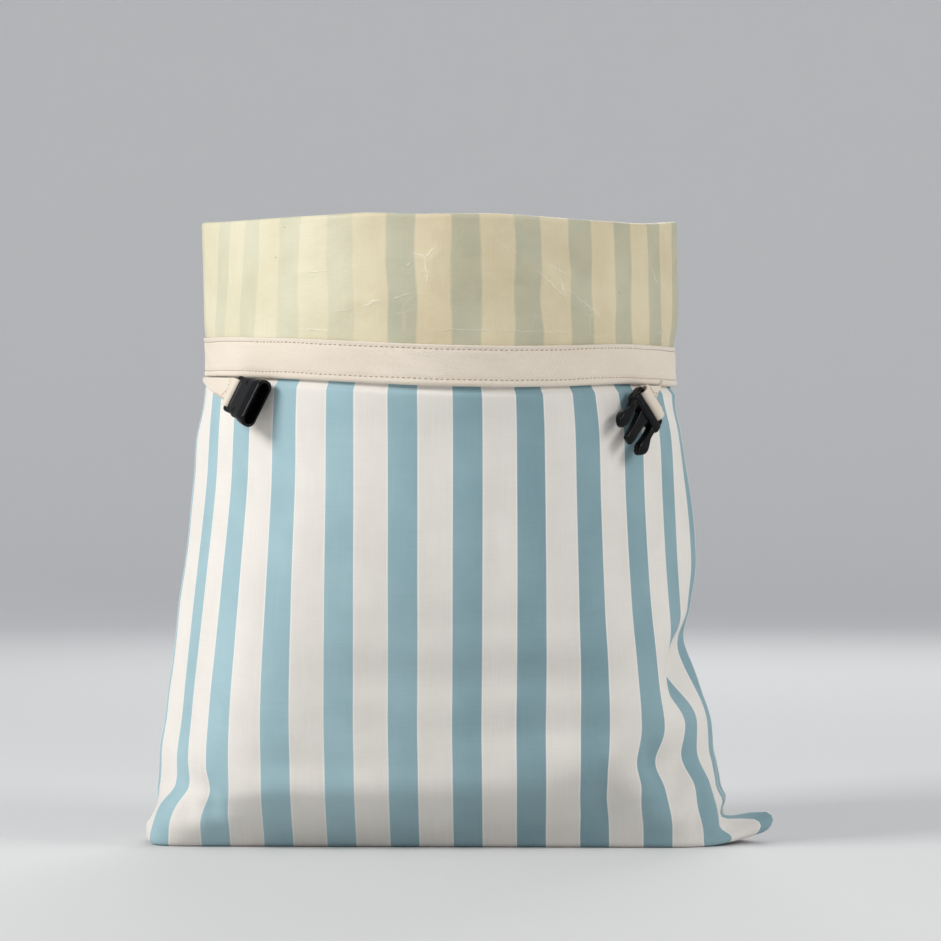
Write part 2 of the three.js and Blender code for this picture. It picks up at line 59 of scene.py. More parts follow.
TAB_STITCH_SIZE = (1.7, 0.45, 0.3)

# Each row is one level cut: height, x of the middle, then the turn in degrees, its place and its softness
# at the left corner, and the same at the right corner.
LEVELS = np.array(
    [
        [0, -2.2, 86, 1.1, 0.8, 60, 9.9, 0.55],
        [11, -2.4, 86, 1.35, 1.1, 65, 9.9, 0.7],
        [21, -2.5, 78, 1.7, 1.5, 71, 9.8, 0.9],
        [32, -2.6, 64, 2.3, 1.1, 75, 9.55, 1.2],
        [48, -2.8, 65, 2.3, 1.1, 72, 9.2, 1.8],
        [67, -3.0, 70, 2.4, 1.5, 71, 9.25, 1.7],
        [86, -2.85, 72.5, 2.5, 1.85, 73, 9.1, 2.0],
        [110, -2.7, 75, 2.65, 2.4, 77, 8.95, 2.5],
        [140, -2.6, 77, 2.8, 2.9, 75, 8.7, 3.0],
        [190, -2.4, 77, 3.05, 3.3, 72, 8.4, 3.4],
        [225, -2.4, 78, 3.1, 3.4, 81, 8.6, 4.0],
        [250, -2.6, 76, 3.3, 3.5, 69, 7.9, 3.5],
        [345, -3.6, 65, 4.1, 3.4, 68, 7.7, 3.9],
    ]
)

# Upright folds: side, place, drift, width, turn in degrees (below 0 for a ridge), lower and upper end.
FOLDS = (
    ("front", 10.5, 0.8, 0.4, 36, 66, 128),
    ("front", 9.45, 0, 0.4, 24, 10, 66),
    ("front", 8.5, 0.3, 0.35, 24, 4, 54),
    ("front", 1.9, -0.3, 0.35, 12, 6, 44),
    ("front", 4.3, 0.8, 0.9, 4, 20, 230),
    ("back", 3.2, -0.8, 0.8, 12, 14, 210),
    ("back", 6.4, 0.9, 1.0, -7, 20, 240),
    ("back", 9.2, 0.6, 0.7, 14, 10, 190),
    ("back", 10.3, -0.3, 0.4, 24, 74, 122),
)

# Height of the mouth, and of the band's lower edge: place round the bag, height.
RIM = np.array(
    [
        [0.35, 345.0], [0.6, 344.5], [1.9, 342.9], [2.8, 342.3], [3.95, 342.2], [4.7, 342.5],
        [5.5, 341.4], [6.6, 341.9], [7.7, 341.1], [8.3, 340.7], [9.0, 340.9], [9.8, 341.4], [10.8, 344.0],
        [11.25, 345.3],
    ]
)
BAND_FOOT = np.array(
    [
        [0.35, 259.1], [2.1, 257.3], [3.4, 255.7], [4.3, 253.8], [5.5, 251.8], [6.8, 250.9], [7.8, 251.8],
        [8.9, 253.2], [10, 253.4], [11.25, 253.7],
    ]
)

# How far the two sides give way: height, shift in x at the left seam and at the right seam.
END_GIVE = np.array(
    [
        [22, 0, 0], [30, -1.3, -2.0], [38, -1.6, -1.0], [46, -1.9, 1.3], [64, -3.2, 0.6],
        [81, -4.0, -1.8], [99, -3.5, -0.4], [117, -3.4, -3.5], [135, -3.5, -1.0], [152, -2.6, 2.1],
        [170, -2.3, 2.0], [188, -2.6, 0.7], [206, -2.5, -0.8], [224, -2.6, -1.7], [241, 0, -2.0],
        [250, 0.4, -1.6], [262, 1.0, -2.4], [276, 1.0, -2.5], [286, -0.3, -0.6], [296, -0.6, 0.1],
        [320, -1.2, 0], [346, -2.1, 0],
    ]
)
END_SPREAD = 26  # how far round the bag this reaches

# The lower corners are pulled out of shape, the right one far along the floor: height, reach in x, back,
# lift, and how far round the bag the pull is felt.
LEFT_TIP = np.array(
    [
        [0, 8, 0, 5, 30],
        [4, 4, 0, 4, 28],
        [9, 1, 0, 2, 26],
        [14, 2, 0, 0, 24],
        [20, 4, 0, 0, 22],
        [30, 0, 0, 0, 20],
    ]
)
RIGHT_TIP = np.array(
    [
        [0, 14, -12, 6, 46],
        [3, 18, -9, 10, 42],
        [6, 15, -6, 11, 36],
        [9, 5, -3, 7, 32],
        [12, -4, -1, 2, 28],
        [16, -6, 0, 0, 26],
        [24, 0, 0, 0, 24],
    ]
)
LINING_BACK = 8  # in the corners the lining stays this far behind the pulled linen
# The back's cloth bulges out beside the right seam: distance from it, width, reach in x, and both ends in
# height.
BULGE = (13, 8, 5.0, 14, 84)


# ---- The bag's outline -------------------------------------------------------------------------------
def smooth(t):
    """3 t^2 - 2 t^3, held at 0 below t = 0 and at 1 above t = 1."""
    t = np.clip(t, 0, 1)
    return t * t * (3 - 2 * t)


def mix(a, b, t):
    """a + (b - a) t."""
    return a + (b - a) * t


def curve_through(rows, z):
    """The cubic through a table's rows. Its slope at a row is that of the line joining the neighbours."""
    i = np.clip(np.searchsorted(rows[:, 0], z, side="left") - 1, 0, len(rows) - 2)
    a, b = rows[i], rows[i + 1]
    before, after = rows[np.maximum(i - 1, 0)], rows[np.minimum(i + 2, len(rows) - 1)]
    span = b[..., :1] - a[..., :1]
    t = np.clip((np.asarray(z)[..., None] - a[..., :1]) / span, 0, 1)
    slope_a = (b - before) / (b[..., :1] - before[..., :1]) * span
    slope_b = (after - a) / (after[..., :1] - a[..., :1]) * span
    return (
        (2 * t**3 - 3 * t**2 + 1) * a
        + (t**3 - 2 * t**2 + t) * slope_a
        + (3 * t**2 - 2 * t**3) * b
        + (t**3 - t**2) * slope_b
    )


CUT_HEIGHTS = np.arange(0, 346.0)
STEPS = 436
STEP = (SEAM_RIGHT - SEAM_LEFT) / STEPS


def run_of_cloth(side):
    """Half of every level cut. The cloth's direction, in degrees, is the sum of two smooth ramps, one at
    each corner, and a wave t exp((1 - t^2) / 2) for each fold; x and y are the running sums of its cosine
    and sine."""
    level = curve_through(LEVELS, CUT_HEIGHTS)
    place = SEAM_LEFT + (np.arange(STEPS) + 0.5)[None] * STEP
    z = CUT_HEIGHTS[:, None]
    column = lambda i: level[:, i : i + 1]
    turn = -column(2) * smooth(((column(3) - place) / column(4) + 1) / 2)
    turn = turn + column(5) * smooth(((place - column(6)) / column(7) + 1) / 2)
    for on, at, drift, width, bend, low, high in FOLDS:
        if on != side:
            continue
        rise = np.clip((z - low) / (high - low), 0, 1)
        t = (place - at - drift * (rise - 0.5)) / width
        turn = turn - bend * np.sin(np.pi * rise) ** 2 * t * np.exp((1 - t * t) / 2)
    turn = np.radians(turn)
    zero = np.zeros((len(z), 1))
    x = np.concatenate([zero, np.cumsum(np.cos(turn), 1)], 1) * STEP * STRIPE_PITCH
    y = np.concatenate([zero, np.cumsum(np.sin(turn), 1)], 1) * STEP * STRIPE_PITCH
    middle = round((MIDDLE - SEAM_LEFT) / STEP)
    return x + column(1) - x[:, middle : middle + 1], y


def level_cuts():
    """Front and back halves of every level cut, sheared so that they meet at both seams, where y is 0."""
    share = np.linspace(0, 1, STEPS + 1)[None]
    fx, fy = run_of_cloth("front")
    bx, by = run_of_cloth("back")
    fy = fy - fy[:, -1:] * share
    bx = bx + mix(fx[:, :1] - bx[:, :1], fx[:, -1:] - bx[:, -1:], share)
    by = by[:, -1:] * share - by
    return {"front": (fx, fy), "back": (bx, by)}


CUTS = level_cuts()
SEAM_BLEND = 14.0  # over this distance from a seam the way outwards turns to the one that both faces share


def ways_out(side):
    """The outward direction at every point of the cuts. Near a seam it is a straight mix of the cloth's own
    normal and the shared, longer direction (1 / |nx|, 0), which keeps the distance from the cloth."""
    x, y = CUTS[side]
    dx, dy = np.gradient(x, axis=1), np.gradient(y, axis=1)
    long = np.hypot(dx, dy)
    flip = 1 if side == "front" else -1
    nx, ny = dy / long * flip, -dx / long * flip
    at = np.arange(STEPS + 1)[None] * STEP * STRIPE_PITCH
    total = STEPS * STEP * STRIPE_PITCH
    for near, end in ((np.clip(at / SEAM_BLEND, 0, 1), 0), (np.clip((total - at) / SEAM_BLEND, 0, 1), -1)):
        shared = np.sign(nx[:, [end]]) / np.maximum(np.abs(nx[:, [end]]), 0.5)
        nx, ny = mix(shared, nx, near), ny * near
    return nx, ny


OUTWARDS = {side: ways_out(side) for side in CUTS}


def on_cuts(side, place, level):
    """x, y and outward direction at places round the bag and heights, mixed from the four nearest points."""
    at = np.clip((place - SEAM_LEFT) / STEP, 0, STEPS - 1e-9)
    up = np.clip(level, 0, len(CUT_HEIGHTS) - 1 - 1e-9)
    i, j = up.astype(int), at.astype(int)
    p, q = up - i, at - j
    layers = (*CUTS[side], *OUTWARDS[side])
    return [
        mix(mix(a[i, j], a[i + 1, j], p), mix(a[i, j + 1], a[i + 1, j + 1], p), q) for a in layers
    ]


def height_at(rows, place):
    """The height that a table of places and heights gives, on one smooth curve."""
    return curve_through(rows, np.asarray(place, float))[..., 1]


def end_give(place, z):
    """The shift in x near both seams: the table's value at the height, less and less with the distance."""
    rows = curve_through(END_GIVE, np.clip(z, END_GIVE[0, 0], END_GIVE[-1, 0]))
    left = smooth(1 - (place - SEAM_LEFT) * STRIPE_PITCH / END_SPREAD)
    right = smooth(1 - (SEAM_RIGHT - place) * STRIPE_PITCH / END_SPREAD)
    return rows[..., 1] * left + rows[..., 2] * right


def back_bulge(side, place, z):
    """A bell curve round the bag, on the back alone, that comes and goes smoothly between its two ends."""
    at, width, reach, low, high = BULGE
    if side == "front":
        return 0.0 * place
    behind = (SEAM_RIGHT - place) * STRIPE_PITCH
    bell = np.exp(-(((behind - at) / width) ** 2)) - np.exp(-((at / width) ** 2)) * np.exp(-behind / 4)
    return reach * bell * smooth((z - low) / 12) * smooth((high - z) / 26)


def corner_pull(place, z, depth):
    """The pull on both lower corners: it falls off in a straight line with the distance round the bag. The
    lining, which is `depth` inside, is lifted with the linen but drawn inwards instead of out."""
    total = 0
    for rows, way, ahead in ((LEFT_TIP, 1, place - SEAM_LEFT), (RIGHT_TIP, -1, SEAM_RIGHT - place)):
        level = curve_through(rows, np.clip(z - depth, 0, rows[-1, 0]))
        share = np.clip(1 - ahead * STRIPE_PITCH / level[..., 4], 0, 1)
        within = smooth((rows[-1, 0] + 6 - z) / 10)
        inwards = np.maximum(way * level[..., 1], 0) + LINING_BACK * within
        reach = level[..., 1] if depth == 0 else way * inwards
        back = level[..., 2] * (depth == 0)
        total = total + np.stack([reach * share, back * share, level[..., 3] * share**1.6], -1)
    return total


def outline_point(side, place, z, out):
    """The outline at a place and height, `out` outside it. The wall follows the level cuts, and above the
    band's foot the cuff is a straight mix of the cuts at the band and at the mouth."""
    place, z, out = np.broadcast_arrays(np.asarray(place, float), z, out)
    foot = height_at(BAND_FOOT, place)
    t = np.maximum(0, (z - foot) / (height_at(RIM, place) - foot))
    x, y, nx, ny = on_cuts(side, place, BAND_LEVEL * np.minimum(1, z / foot))
    mx, my, ox, oy = on_cuts(side, place, np.full_like(place, MOUTH_LEVEL))
    px, py = mix(x + nx * out, mx + ox * out, t), mix(y + ny * out, my + oy * out, t)
    return np.stack([px + end_give(place, z) + back_bulge(side, place, z), py, z], -1)


def ripple(place, seed, pitch, size):
    """A slow uneven wave: three sines of the distance round the bag, with lengths near `pitch`."""
    phase = np.random.default_rng(seed).uniform(0, 2 * np.pi, 3)
    turns = 2 * np.pi * np.asarray(place) * STRIPE_PITCH / pitch
    waves = (np.sin(turns * share + lag) for share, lag in zip((1, 1.73, 0.59), phase))
    return size * sum(waves) / 3


# ---- Creases -----------------------------------------------------------------------------------------
# Side, place and height of one end, the same of the other end, width and depth (below 0 for a ridge).
CREASES = (
    ("front", 2.0, 36, 2.35, 8, 5, 2.0),
    ("front", 1.55, 30, 1.9, 10, 4, 1.2),
    ("front", 9.1, 70, 9.5, 26, 7, 1.6),
    ("front", 10.6, 112, 9.9, 76, 5, 2.0),
    ("front", 10.1, 60, 9.4, 18, 5, 1.4),
    ("front", 8.2, 60, 8.5, 20, 7, 1.0),
    ("front", 3.4, 68, 9.0, 68, 15, -1.7),
    ("front", 3.6, 121, 9.0, 121, 14, 0.9),
    ("front", 1.6, 48, 9.6, 48, 12, 1.3),
    ("front", 1.2, 17, 9.8, 17, 9, -2.0),
    ("front", 10.1, 31, 9.75, 3, 4, 2.4),
    ("front", 10.4, 26, 10.2, 3, 5, -1.8),
    ("front", 11.0, 14, 10.5, 2, 4, 1.5),
    ("front", 6.8, 240, 6.6, 90, 9, 0.7),
    ("front", 3.4, 235, 3.0, 120, 8, 0.7),
    ("front", 8.9, 235, 8.7, 130, 8, 0.8),
    ("back", 4.2, 235, 4.6, 100, 9, 0.9),
    ("back", 7.6, 200, 7.1, 60, 9, 0.9),
    ("back", 2.2, 60, 2.8, 12, 6, 1.4),
)


def crease_sum(table, side, place, z):
    """The sum of soft troughs, depth exp(-(d / width)^2), d being the distance from each crease's line."""
    total = np.zeros(np.broadcast(place, z).shape)
    for on, place_a, z_a, place_b, z_b, width, depth in table:
        if on != side:
            continue
        ax, bx = place_a * STRIPE_PITCH, place_b * STRIPE_PITCH
        lx, lz = bx - ax, z_b - z_a
        px, pz = place * STRIPE_PITCH - ax, z - z_a
        t = np.clip((px * lx + pz * lz) / (lx * lx + lz * lz), 0, 1)
        d2 = (px - t * lx) ** 2 + (pz - t * lz) ** 2
        total = total + depth * np.sin(np.pi * np.clip(0.12 + 0.76 * t, 0, 1)) * np.exp(-d2 / width**2)
    return total


# The same for the cuff, where the waxed cloth has stiff, narrow creases that stand out.
CUFF_CREASES = (
    ("front", 5.45, 319, 5.68, 316, 2.6, 0.5),
    ("front", 5.68, 316, 5.82, 323, 2.4, 0.5),
    ("front", 5.68, 316, 5.7, 304, 2.6, 0.5),
    ("front", 7.5, 313, 7.95, 299, 3.2, 0.6),
    ("front", 7.85, 318, 8.05, 306, 3.0, 0.6),
    ("front", 7.95, 299, 8.75, 284, 3.6, 0.5),
    ("front", 6.95, 305, 7.3, 302, 3.6, -0.5),
    ("front", 3.3, 312, 3.9, 312, 2.6, 0.35),
    ("front", 4.4, 294, 5.0, 297, 4.5, 0.5),
    ("front", 4.1, 285, 4.5, 300, 3.5, 0.4),
    ("front", 9.9, 325, 10.3, 300, 4.0, 0.4),
    ("front", 1.3, 330, 1.2, 298, 4.0, 0.35),
    ("back", 4.0, 320, 4.7, 300, 3.5, 0.6),
    ("back", 8.0, 325, 7.4, 296, 4.0, 0.6),
)


def cuff_relief(side, place, z):
    """Narrow creases on a slow uneven wave that runs mostly up and down."""
    wave = ripple(place, 21 if side == "front" else 24, 46, 0.5) * np.sin((z - 262) / 31)
    return crease_sum(CUFF_CREASES, side, place, z) + wave


# ---- Meshes ------------------------------------------------------------------------------------------
def new_mesh(name, points, faces, uv=None, material=None):
    """A mesh object from points in millimetres and lists of triangles and four-sided faces."""
    mesh = bpy.data.meshes.new(name)
    points = np.asarray(points, np.float32) * MM
    loops = np.concatenate([f.ravel() for f in faces]).astype(np.int32)
    sizes = np.concatenate([np.full(len(f), f.shape[1]) for f in faces]).astype(np.int32)
    mesh.vertices.add(len(points))
    mesh.vertices.foreach_set("co", points.ravel())
    mesh.loops.add(len(loops))
    mesh.loops.foreach_set("vertex_index", loops)
    mesh.polygons.add(len(sizes))
    mesh.polygons.foreach_set("loop_start", np.concatenate([[0], np.cumsum(sizes)[:-1]]).astype(np.int32))
    mesh.polygons.foreach_set("loop_total", sizes)
    mesh.polygons.foreach_set("use_smooth", np.ones(len(sizes), bool))
    mesh.update(calc_edges=True)
    if uv is not None:
        layer = mesh.uv_layers.new(name="cloth")
        layer.data.foreach_set("uv", np.asarray(uv, np.float32)[loops].ravel())
    obj = bpy.data.objects.new(name, mesh)
    bpy.context.scene.collection.objects.link(obj)
    if material is not None:
        mesh.materials.append(material)
    return obj


def numbered(count, width):
    """The point numbers of a grid, row by row."""
    return np.arange(count * width).reshape(count, width)


def grid_faces(index, closed=False):
    """Four-sided faces between the neighbours of a grid of point numbers, closed round or not."""
    if closed:
        index = np.concatenate([index, index[:, :1]], 1)
    a, b, c, d = index[:-1, :-1], index[:-1, 1:], index[1:, 1:], index[1:, :-1]
    return np.stack([a, b, c, d], -1).reshape(-1, 4)


SIDE_COLUMNS = 186
# Places round the bag, closer together in the middle and at the two ends, where the folds are.
ROUND_SHARE = np.linspace(0, 1, SIDE_COLUMNS)
PLACES = mix(SEAM_LEFT, SEAM_RIGHT, ROUND_SHARE - 0.07 * np.sin(4 * np.pi * ROUND_SHARE) / np.pi)
BASE_ROWS = 10
BASE_DEEP = 90  # the pattern's run across the base
LOW_FROM, LOW_TO = 6, 136  # between these heights the wall's rows lie closest, for the folds
# Heights over the band's foot: top of the wall's rows, both ends of the lean inwards, start of the leg.
WALL_TOP, LEAN_FROM, LEAN_TO, LEG_FROM = -8, -6, 0.5, 4


def cloth_path(place, depth, low_rows, high_rows, cuff_rows):
    """The path of a face `depth` millimetres inside the linen's outer face, up the wall, over the mouth and
    down the cuff: for each place its heights, and how far outside the outline it is."""
    foot, rim = height_at(BAND_FOOT, place), height_at(RIM, place)
    turn_z = rim - SHEETS - TURN_RADIUS
    radius = TURN_RADIUS + depth
    floor_rows = LOW_FROM * np.linspace(0, 1, 6) ** 1.5
    low = mix(LOW_FROM, LOW_TO, np.linspace(0, 1, low_rows)[1:] ** 0.95)
    low = depth + np.concatenate([floor_rows, low]) * (1 - depth / 400)
    high = mix(LOW_TO, foot + WALL_TOP, np.linspace(0, 1, high_rows)[1:, None])
    wall = np.concatenate([np.repeat(low[:, None], len(place), 1), high])
    lean = mix(foot + LEAN_FROM, foot + LEAN_TO, np.linspace(0, 1, 7)[:, None])
    leg = mix(foot + LEG_FROM, turn_z, np.linspace(0, 1, 7)[:, None])
    angle = np.pi * np.linspace(0, 1, 9)[1:, None]
    turn = turn_z + radius * np.sin(angle)
    turn_out = -SHEETS - TURN_RADIUS - radius * np.cos(angle) + 0 * place
    cuff = mix(turn_z, foot + TAPE + 2 * PLY_GAP, np.linspace(0, 1, cuff_rows)[1:, None])
    z = np.concatenate([wall, lean, leg, turn, cuff])
    bottom = BOTTOM_ROUND * (1 - np.sqrt(1 - (1 - np.clip((wall - depth) / BOTTOM_ROUND, 0, 1)) ** 2))
    lean_out = -INSET * smooth((lean - (foot - LEAN_BELOW)) / LEAN_RUN)
    out = np.concatenate(
        [
            -depth - bottom,
            lean_out - depth,
            np.full_like(leg, -INSET - depth),
            turn_out,
            np.full_like(cuff, -SHEETS + depth),
        ]
    )
    rows = {"wall": len(wall) + len(lean), "cuff": len(wall) + len(lean) + len(leg) + len(turn)}
    return z, out, rows


def run_along(rings):
    """The distance along each column of points, from its first point: the running sum of its steps."""
    steps = np.linalg.norm(np.diff(rings, axis=0), axis=-1)
    return np.concatenate([np.zeros_like(steps[:1]), np.cumsum(steps, 0)])


def bag_sheet(name, depth, inside_out, material, row_counts):
    """One sheet of the bag as a grid of rings, closed at the bottom by a ladder of points from its front
    edge to its back edge. The pattern's u is the distance round the bag, and v that along the cloth."""
    z, out, rows = cloth_path(PLACES, depth, *row_counts)
    foot, rim = height_at(BAND_FOOT, PLACES), height_at(RIM, PLACES)
    halves = []
    for side in ("front", "back"):
        # The wall's creases fade out above the base and below the band, the cuff's at its rim and foot.
        fade = smooth((z - 3) / 8) * smooth((foot - 20 - z) / 20)
        fade[rows["wall"] :] = 0
        relief = -crease_sum(CREASES, side, PLACES[None], z) * fade
        on_cuff = smooth((rim - 3 - z) / 5) * smooth((z - foot - 22) / 8)
        on_cuff[: rows["cuff"]] = 0
        relief = relief + cuff_relief(side, PLACES[None], z) * on_cuff
        pull = corner_pull(PLACES[None] + 0 * z, z, depth)
        points = outline_point(side, PLACES[None], z, out + relief) + pull
        halves.append(points)
    front, back = halves
    ring = np.concatenate([front, back[:, -2:0:-1]], 1)
    count, width = ring.shape[:2]
    places = np.concatenate([PLACES, PLACES[-2:0:-1]])
    along = run_along(ring)
    uv = np.stack([np.broadcast_to(places * STRIPE_PITCH, along.shape), along], -1) * MM
    index = numbered(count, width)
    t = np.linspace(0, 1, BASE_ROWS + 2)[1:-1, None, None]
    inner = mix(front[0, 1:-1][None], back[0, 1:-1][None], t)
    base_run = -BASE_DEEP * t[..., 0]
    base_uv = np.stack(np.broadcast_arrays(PLACES[None, 1:-1] * STRIPE_PITCH, base_run), -1) * MM
    last = len(PLACES) - 1
    ladder = np.concatenate(
        [
            index[0, 1:last][None],
            count * width + numbered(*inner.shape[:2]),
            index[0, last + 1 :][::-1][None],
        ]
    )
    left = np.stack([np.full(len(ladder) - 1, index[0, 0]), ladder[1:, 0], ladder[:-1, 0]], -1)
    right = np.stack([np.full(len(ladder) - 1, index[0, last]), ladder[:-1, -1], ladder[1:, -1]], -1)
    faces = [grid_faces(index, closed=True), grid_faces(ladder)[:, ::-1], left, right]
    if inside_out:
        faces = [f[:, ::-1] for f in faces]
    points = np.concatenate([ring.reshape(-1, 3), inner.reshape(-1, 3)])
    uv = np.concatenate([uv.reshape(-1, 2), base_uv.reshape(-1, 2)])
    return new_mesh(name, points, faces, uv, material)


BAND_OUT = PLY_GAP + TAPE / 2  # middle of the tape outside the cuff
BAND_IN = -SHEETS - PLY_GAP - TAPE / 2
STITCH_ROWS = (3.2, 19.1)  # heights of the seams over the band's foot
BAND_TURN = 1.2  # the fold under the cuff's edge begins this far over the band's foot
BAND_SIDES = (("front", 3), ("back", 8))  # each with the seed of its waves
SLANT_SIZE, SLANT_LENGTH, SLANT_RISE = 0.2, 31, 24  # of the tape's slanting ripples
DIP_DEPTH, DIP_WIDTH = 0.36, 0.9  # of the dip along a seam
PUCKER = 0.3  # how much deeper and shallower the dip is from stitch to stitch


def band_relief(place, up, seed):
    """How far the tape's face stands out: a slow wave, slanting ripples, and a dip along each seam."""
    share = np.clip(up / 22, 0, 1)
    slant = np.sin(2 * np.pi * (place * STRIPE_PITCH / SLANT_LENGTH + up / SLANT_RISE))
    slant = SLANT_SIZE * slant * np.sin(np.pi * share)
    dips = sum(DIP_DEPTH * np.exp(-(((up - row) / DIP_WIDTH) ** 2)) for row in STITCH_ROWS)
    pucker = PUCKER * np.sin(2 * np.pi * place * STRIPE_PITCH / STITCH_PITCH / 2) * dips
    return ripple(place, seed, 120, 0.35) * share + slant - dips + pucker + 0.15


def band_point(side, place, up, out, seed=3):
    """A point of the tape at a height over the band's foot, which itself waves a little up and down."""
    foot = height_at(BAND_FOOT, place) + ripple(place, seed + 1, 150, 0.3)
    return outline_point(side, place, foot + up, out)


def band_sheet():
    """Tape folded over the cloth's raw edge: down the outer face, a half circle under it, and up inside."""
    place = PLACES[None]
    down = np.linspace(BAND_HEIGHT, BAND_TURN, 26)[:, None]
    angle = np.pi * np.linspace(0, 1, 8)[1:-1, None]
    middle, half = (BAND_OUT + BAND_IN) / 2, (BAND_OUT - BAND_IN) / 2
    rise = np.linspace(BAND_TURN, BAND_BACK_HEIGHT, 6)[:, None]
    halves = []
    for side, seed in BAND_SIDES:
        outer = band_point(side, place, down + 0 * place, BAND_OUT + band_relief(place, down, seed))
        below = BAND_TURN - BAND_TURN * np.sin(angle) + 0 * place
        turn = band_point(side, place, below, middle + half * np.cos(angle))
        inner = band_point(side, place, rise + 0 * place, BAND_IN)
        halves.append(np.concatenate([outer, turn, inner]))
    ring = np.concatenate([halves[0], halves[1][:, -2:0:-1]], 1)
    along = run_along(ring)
    places = np.concatenate([PLACES, 2 * SEAM_RIGHT - PLACES[-2:0:-1]])
    uv = np.stack([np.broadcast_to(places * STRIPE_PITCH, along.shape), along], -1) * MM
    faces = grid_faces(numbered(*ring.shape[:2]), closed=True)[:, ::-1]
    return new_mesh("tape_band", ring.reshape(-1, 3), [faces], uv.reshape(-1, 2), TAPE_CLOTH)


STITCH_RINGS, STITCH_SIDES = 7, 6  # points along a stitch and over its back


def stitches(name, centres, along, up, away, size, material):
    """Equal stitches: each is half an ellipsoid, length x width x height, sunk a little at both ends."""
    length, width, height = size
    u = np.linspace(-1, 1, STITCH_RINGS)[:, None]
    a = np.linspace(0, np.pi, STITCH_SIDES)[None]
    belly = np.sqrt(np.maximum(1 - u**2, 0.02))
    x, y, z = u + 0 * a, belly * np.cos(a), belly * np.sin(a) - 0.25 * u**2
    shape = np.stack([x * length / 2, y * width / 2, z * height], -1).reshape(-1, 3)
    frames = np.stack([along, up, away], 1)
    points = centres[:, None] + np.einsum("vk,nkc->nvc", shape, frames)
    one = STITCH_RINGS * STITCH_SIDES
    quads = grid_faces(numbered(STITCH_RINGS, STITCH_SIDES))
    faces = (quads[None] + one * np.arange(len(centres))[:, None, None]).reshape(-1, 4)
    return new_mesh(name, points.reshape(-1, 3), [faces], None, material)


def unit(v):
    """v / |v|."""
    return v / np.linalg.norm(v, axis=-1, keepdims=True)


def band_stitches():
    """Two seams of stitches round the outer face of the band, one every STITCH_PITCH."""
    parts = []
    for side, seed in BAND_SIDES:
        count = int((SEAM_RIGHT - SEAM_LEFT) * STRIPE_PITCH / STITCH_PITCH)
        place = SEAM_LEFT + (SEAM_RIGHT - SEAM_LEFT) * (np.arange(count) + 0.5) / count
        for row in STITCH_ROWS:
            height = row + ripple(place, seed + 5, 60, 0.25)
            out = BAND_OUT + TAPE / 2 + band_relief(place, height, seed)
            here = band_point(side, place, height, out + 0.05)
            ahead = band_point(side, place + 0.02, height, out + 0.05)
            above = band_point(side, place, height + 0.5, out + 0.05)
            along, up = unit(ahead - here), unit(above - here)
            away = unit(np.cross(along, up)) * (1 if side == "front" else -1)
            tilt = 0.12
            parts.append((here, unit(along + tilt * up), unit(up - tilt * along), away))
    centres, along, up, away = (np.concatenate(p) for p in zip(*parts))
    flip = np.sign(np.einsum("nc,nc->n", np.cross(along, up), away))[:, None]
    return stitches("band_stitching", centres, along * flip, up, away, STITCH_SIZE, THREAD_YARN)


# ---- Buckle and tabs ---------------------------------------------------------------------------------
# Where each half hangs: the place round the bag and height of its bar's middle, how far the bar stands off
# the outline, which way round the bag it points, and how far it is pitched down and rolled away from the
# cloth. The yaw turns its tip away from the cloth, and the loop is the radius of the tape round its bar.
Hang = namedtuple("Hang", "place z stand way pitch roll yaw loop")
SOCKET_HANG = Hang(2.33, 248.0, 8.8, 1, 14, -20, 0, 2.4)
PLUG_HANG = Hang(9.48, 242.8, 7.6, -1, 41, 0, -6, 3.6)
TAB_RISE = 16  # the tape leaves the cloth this far behind the bar
TAB_REST = 1.5  # how far the tape's two layers lie off the outline, at their middle
TAPE_APART = 0.45  # half the distance between the middles of two layers sewn together


def turned(vectors, axis, degrees):
    """Vectors turned about a unit axis: v cos a + (axis x v) sin a + axis (axis . v) (1 - cos a)."""
    a = math.radians(degrees)
    dot = np.sum(vectors * axis, -1, keepdims=True)
    return vectors * math.cos(a) + np.cross(axis, vectors) * math.sin(a) + axis * dot * (1 - math.cos(a))


def cloth_frame(place, z, stand, way, pitch, roll=0, yaw=0, loop=0):
    """Origin, forward, up and away at places and heights of the front: the cloth's own directions round the
    bag and up it, turned down by the pitch, over by the roll and away from the cloth by the yaw. The loop,
    the last value of a hang, has no part in it."""
    place, z, stand = np.broadcast_arrays(np.asarray(place, float), z, stand)
    near = lambda ahead, above: outline_point("front", place + ahead, z + above, 0.0)
    ahead = unit(near(0.2, 0) - near(-0.2, 0))
    slope = unit(near(0, 1) - near(0, -9))
    away = unit(np.cross(ahead, slope))
    forward = turned(way * ahead, away, -way * pitch)
    up = way * np.cross(away, forward)
    forward, away = turned(forward, up, -way * yaw), turned(away, up, -way * yaw)
    origin = outline_point("front", place, z, stand)
    return origin, forward, turned(up, forward, way * roll), turned(away, forward, way * roll)


def edge_shares(wide, thick, corner):
    """Rows X, Y, C and S round a rectangle with round corners: x = X (w - r) + r C, y = Y (h - r) + r S."""
    corners = ((1, 1), (-1, 1), (-1, -1), (1, -1), (1, 1))
    rows = []
    for k in range(4):
        (x, y), (next_x, next_y) = corners[k], corners[k + 1]
        a = np.radians(90 * k + 90 * np.linspace(0, 1, corner + 1))
        rows.append(np.stack([x + 0 * a, y + 0 * a, np.cos(a), np.sin(a)]))
        t = np.linspace(0, 1, (wide if k % 2 == 0 else thick) + 1)[1:-1]
        c, s = np.cos(a[-1]) + 0 * t, np.sin(a[-1]) + 0 * t
        rows.append(np.stack([mix(x, next_x, t), mix(y, next_y, t), c, s]))
    return np.concatenate(rows, 1)


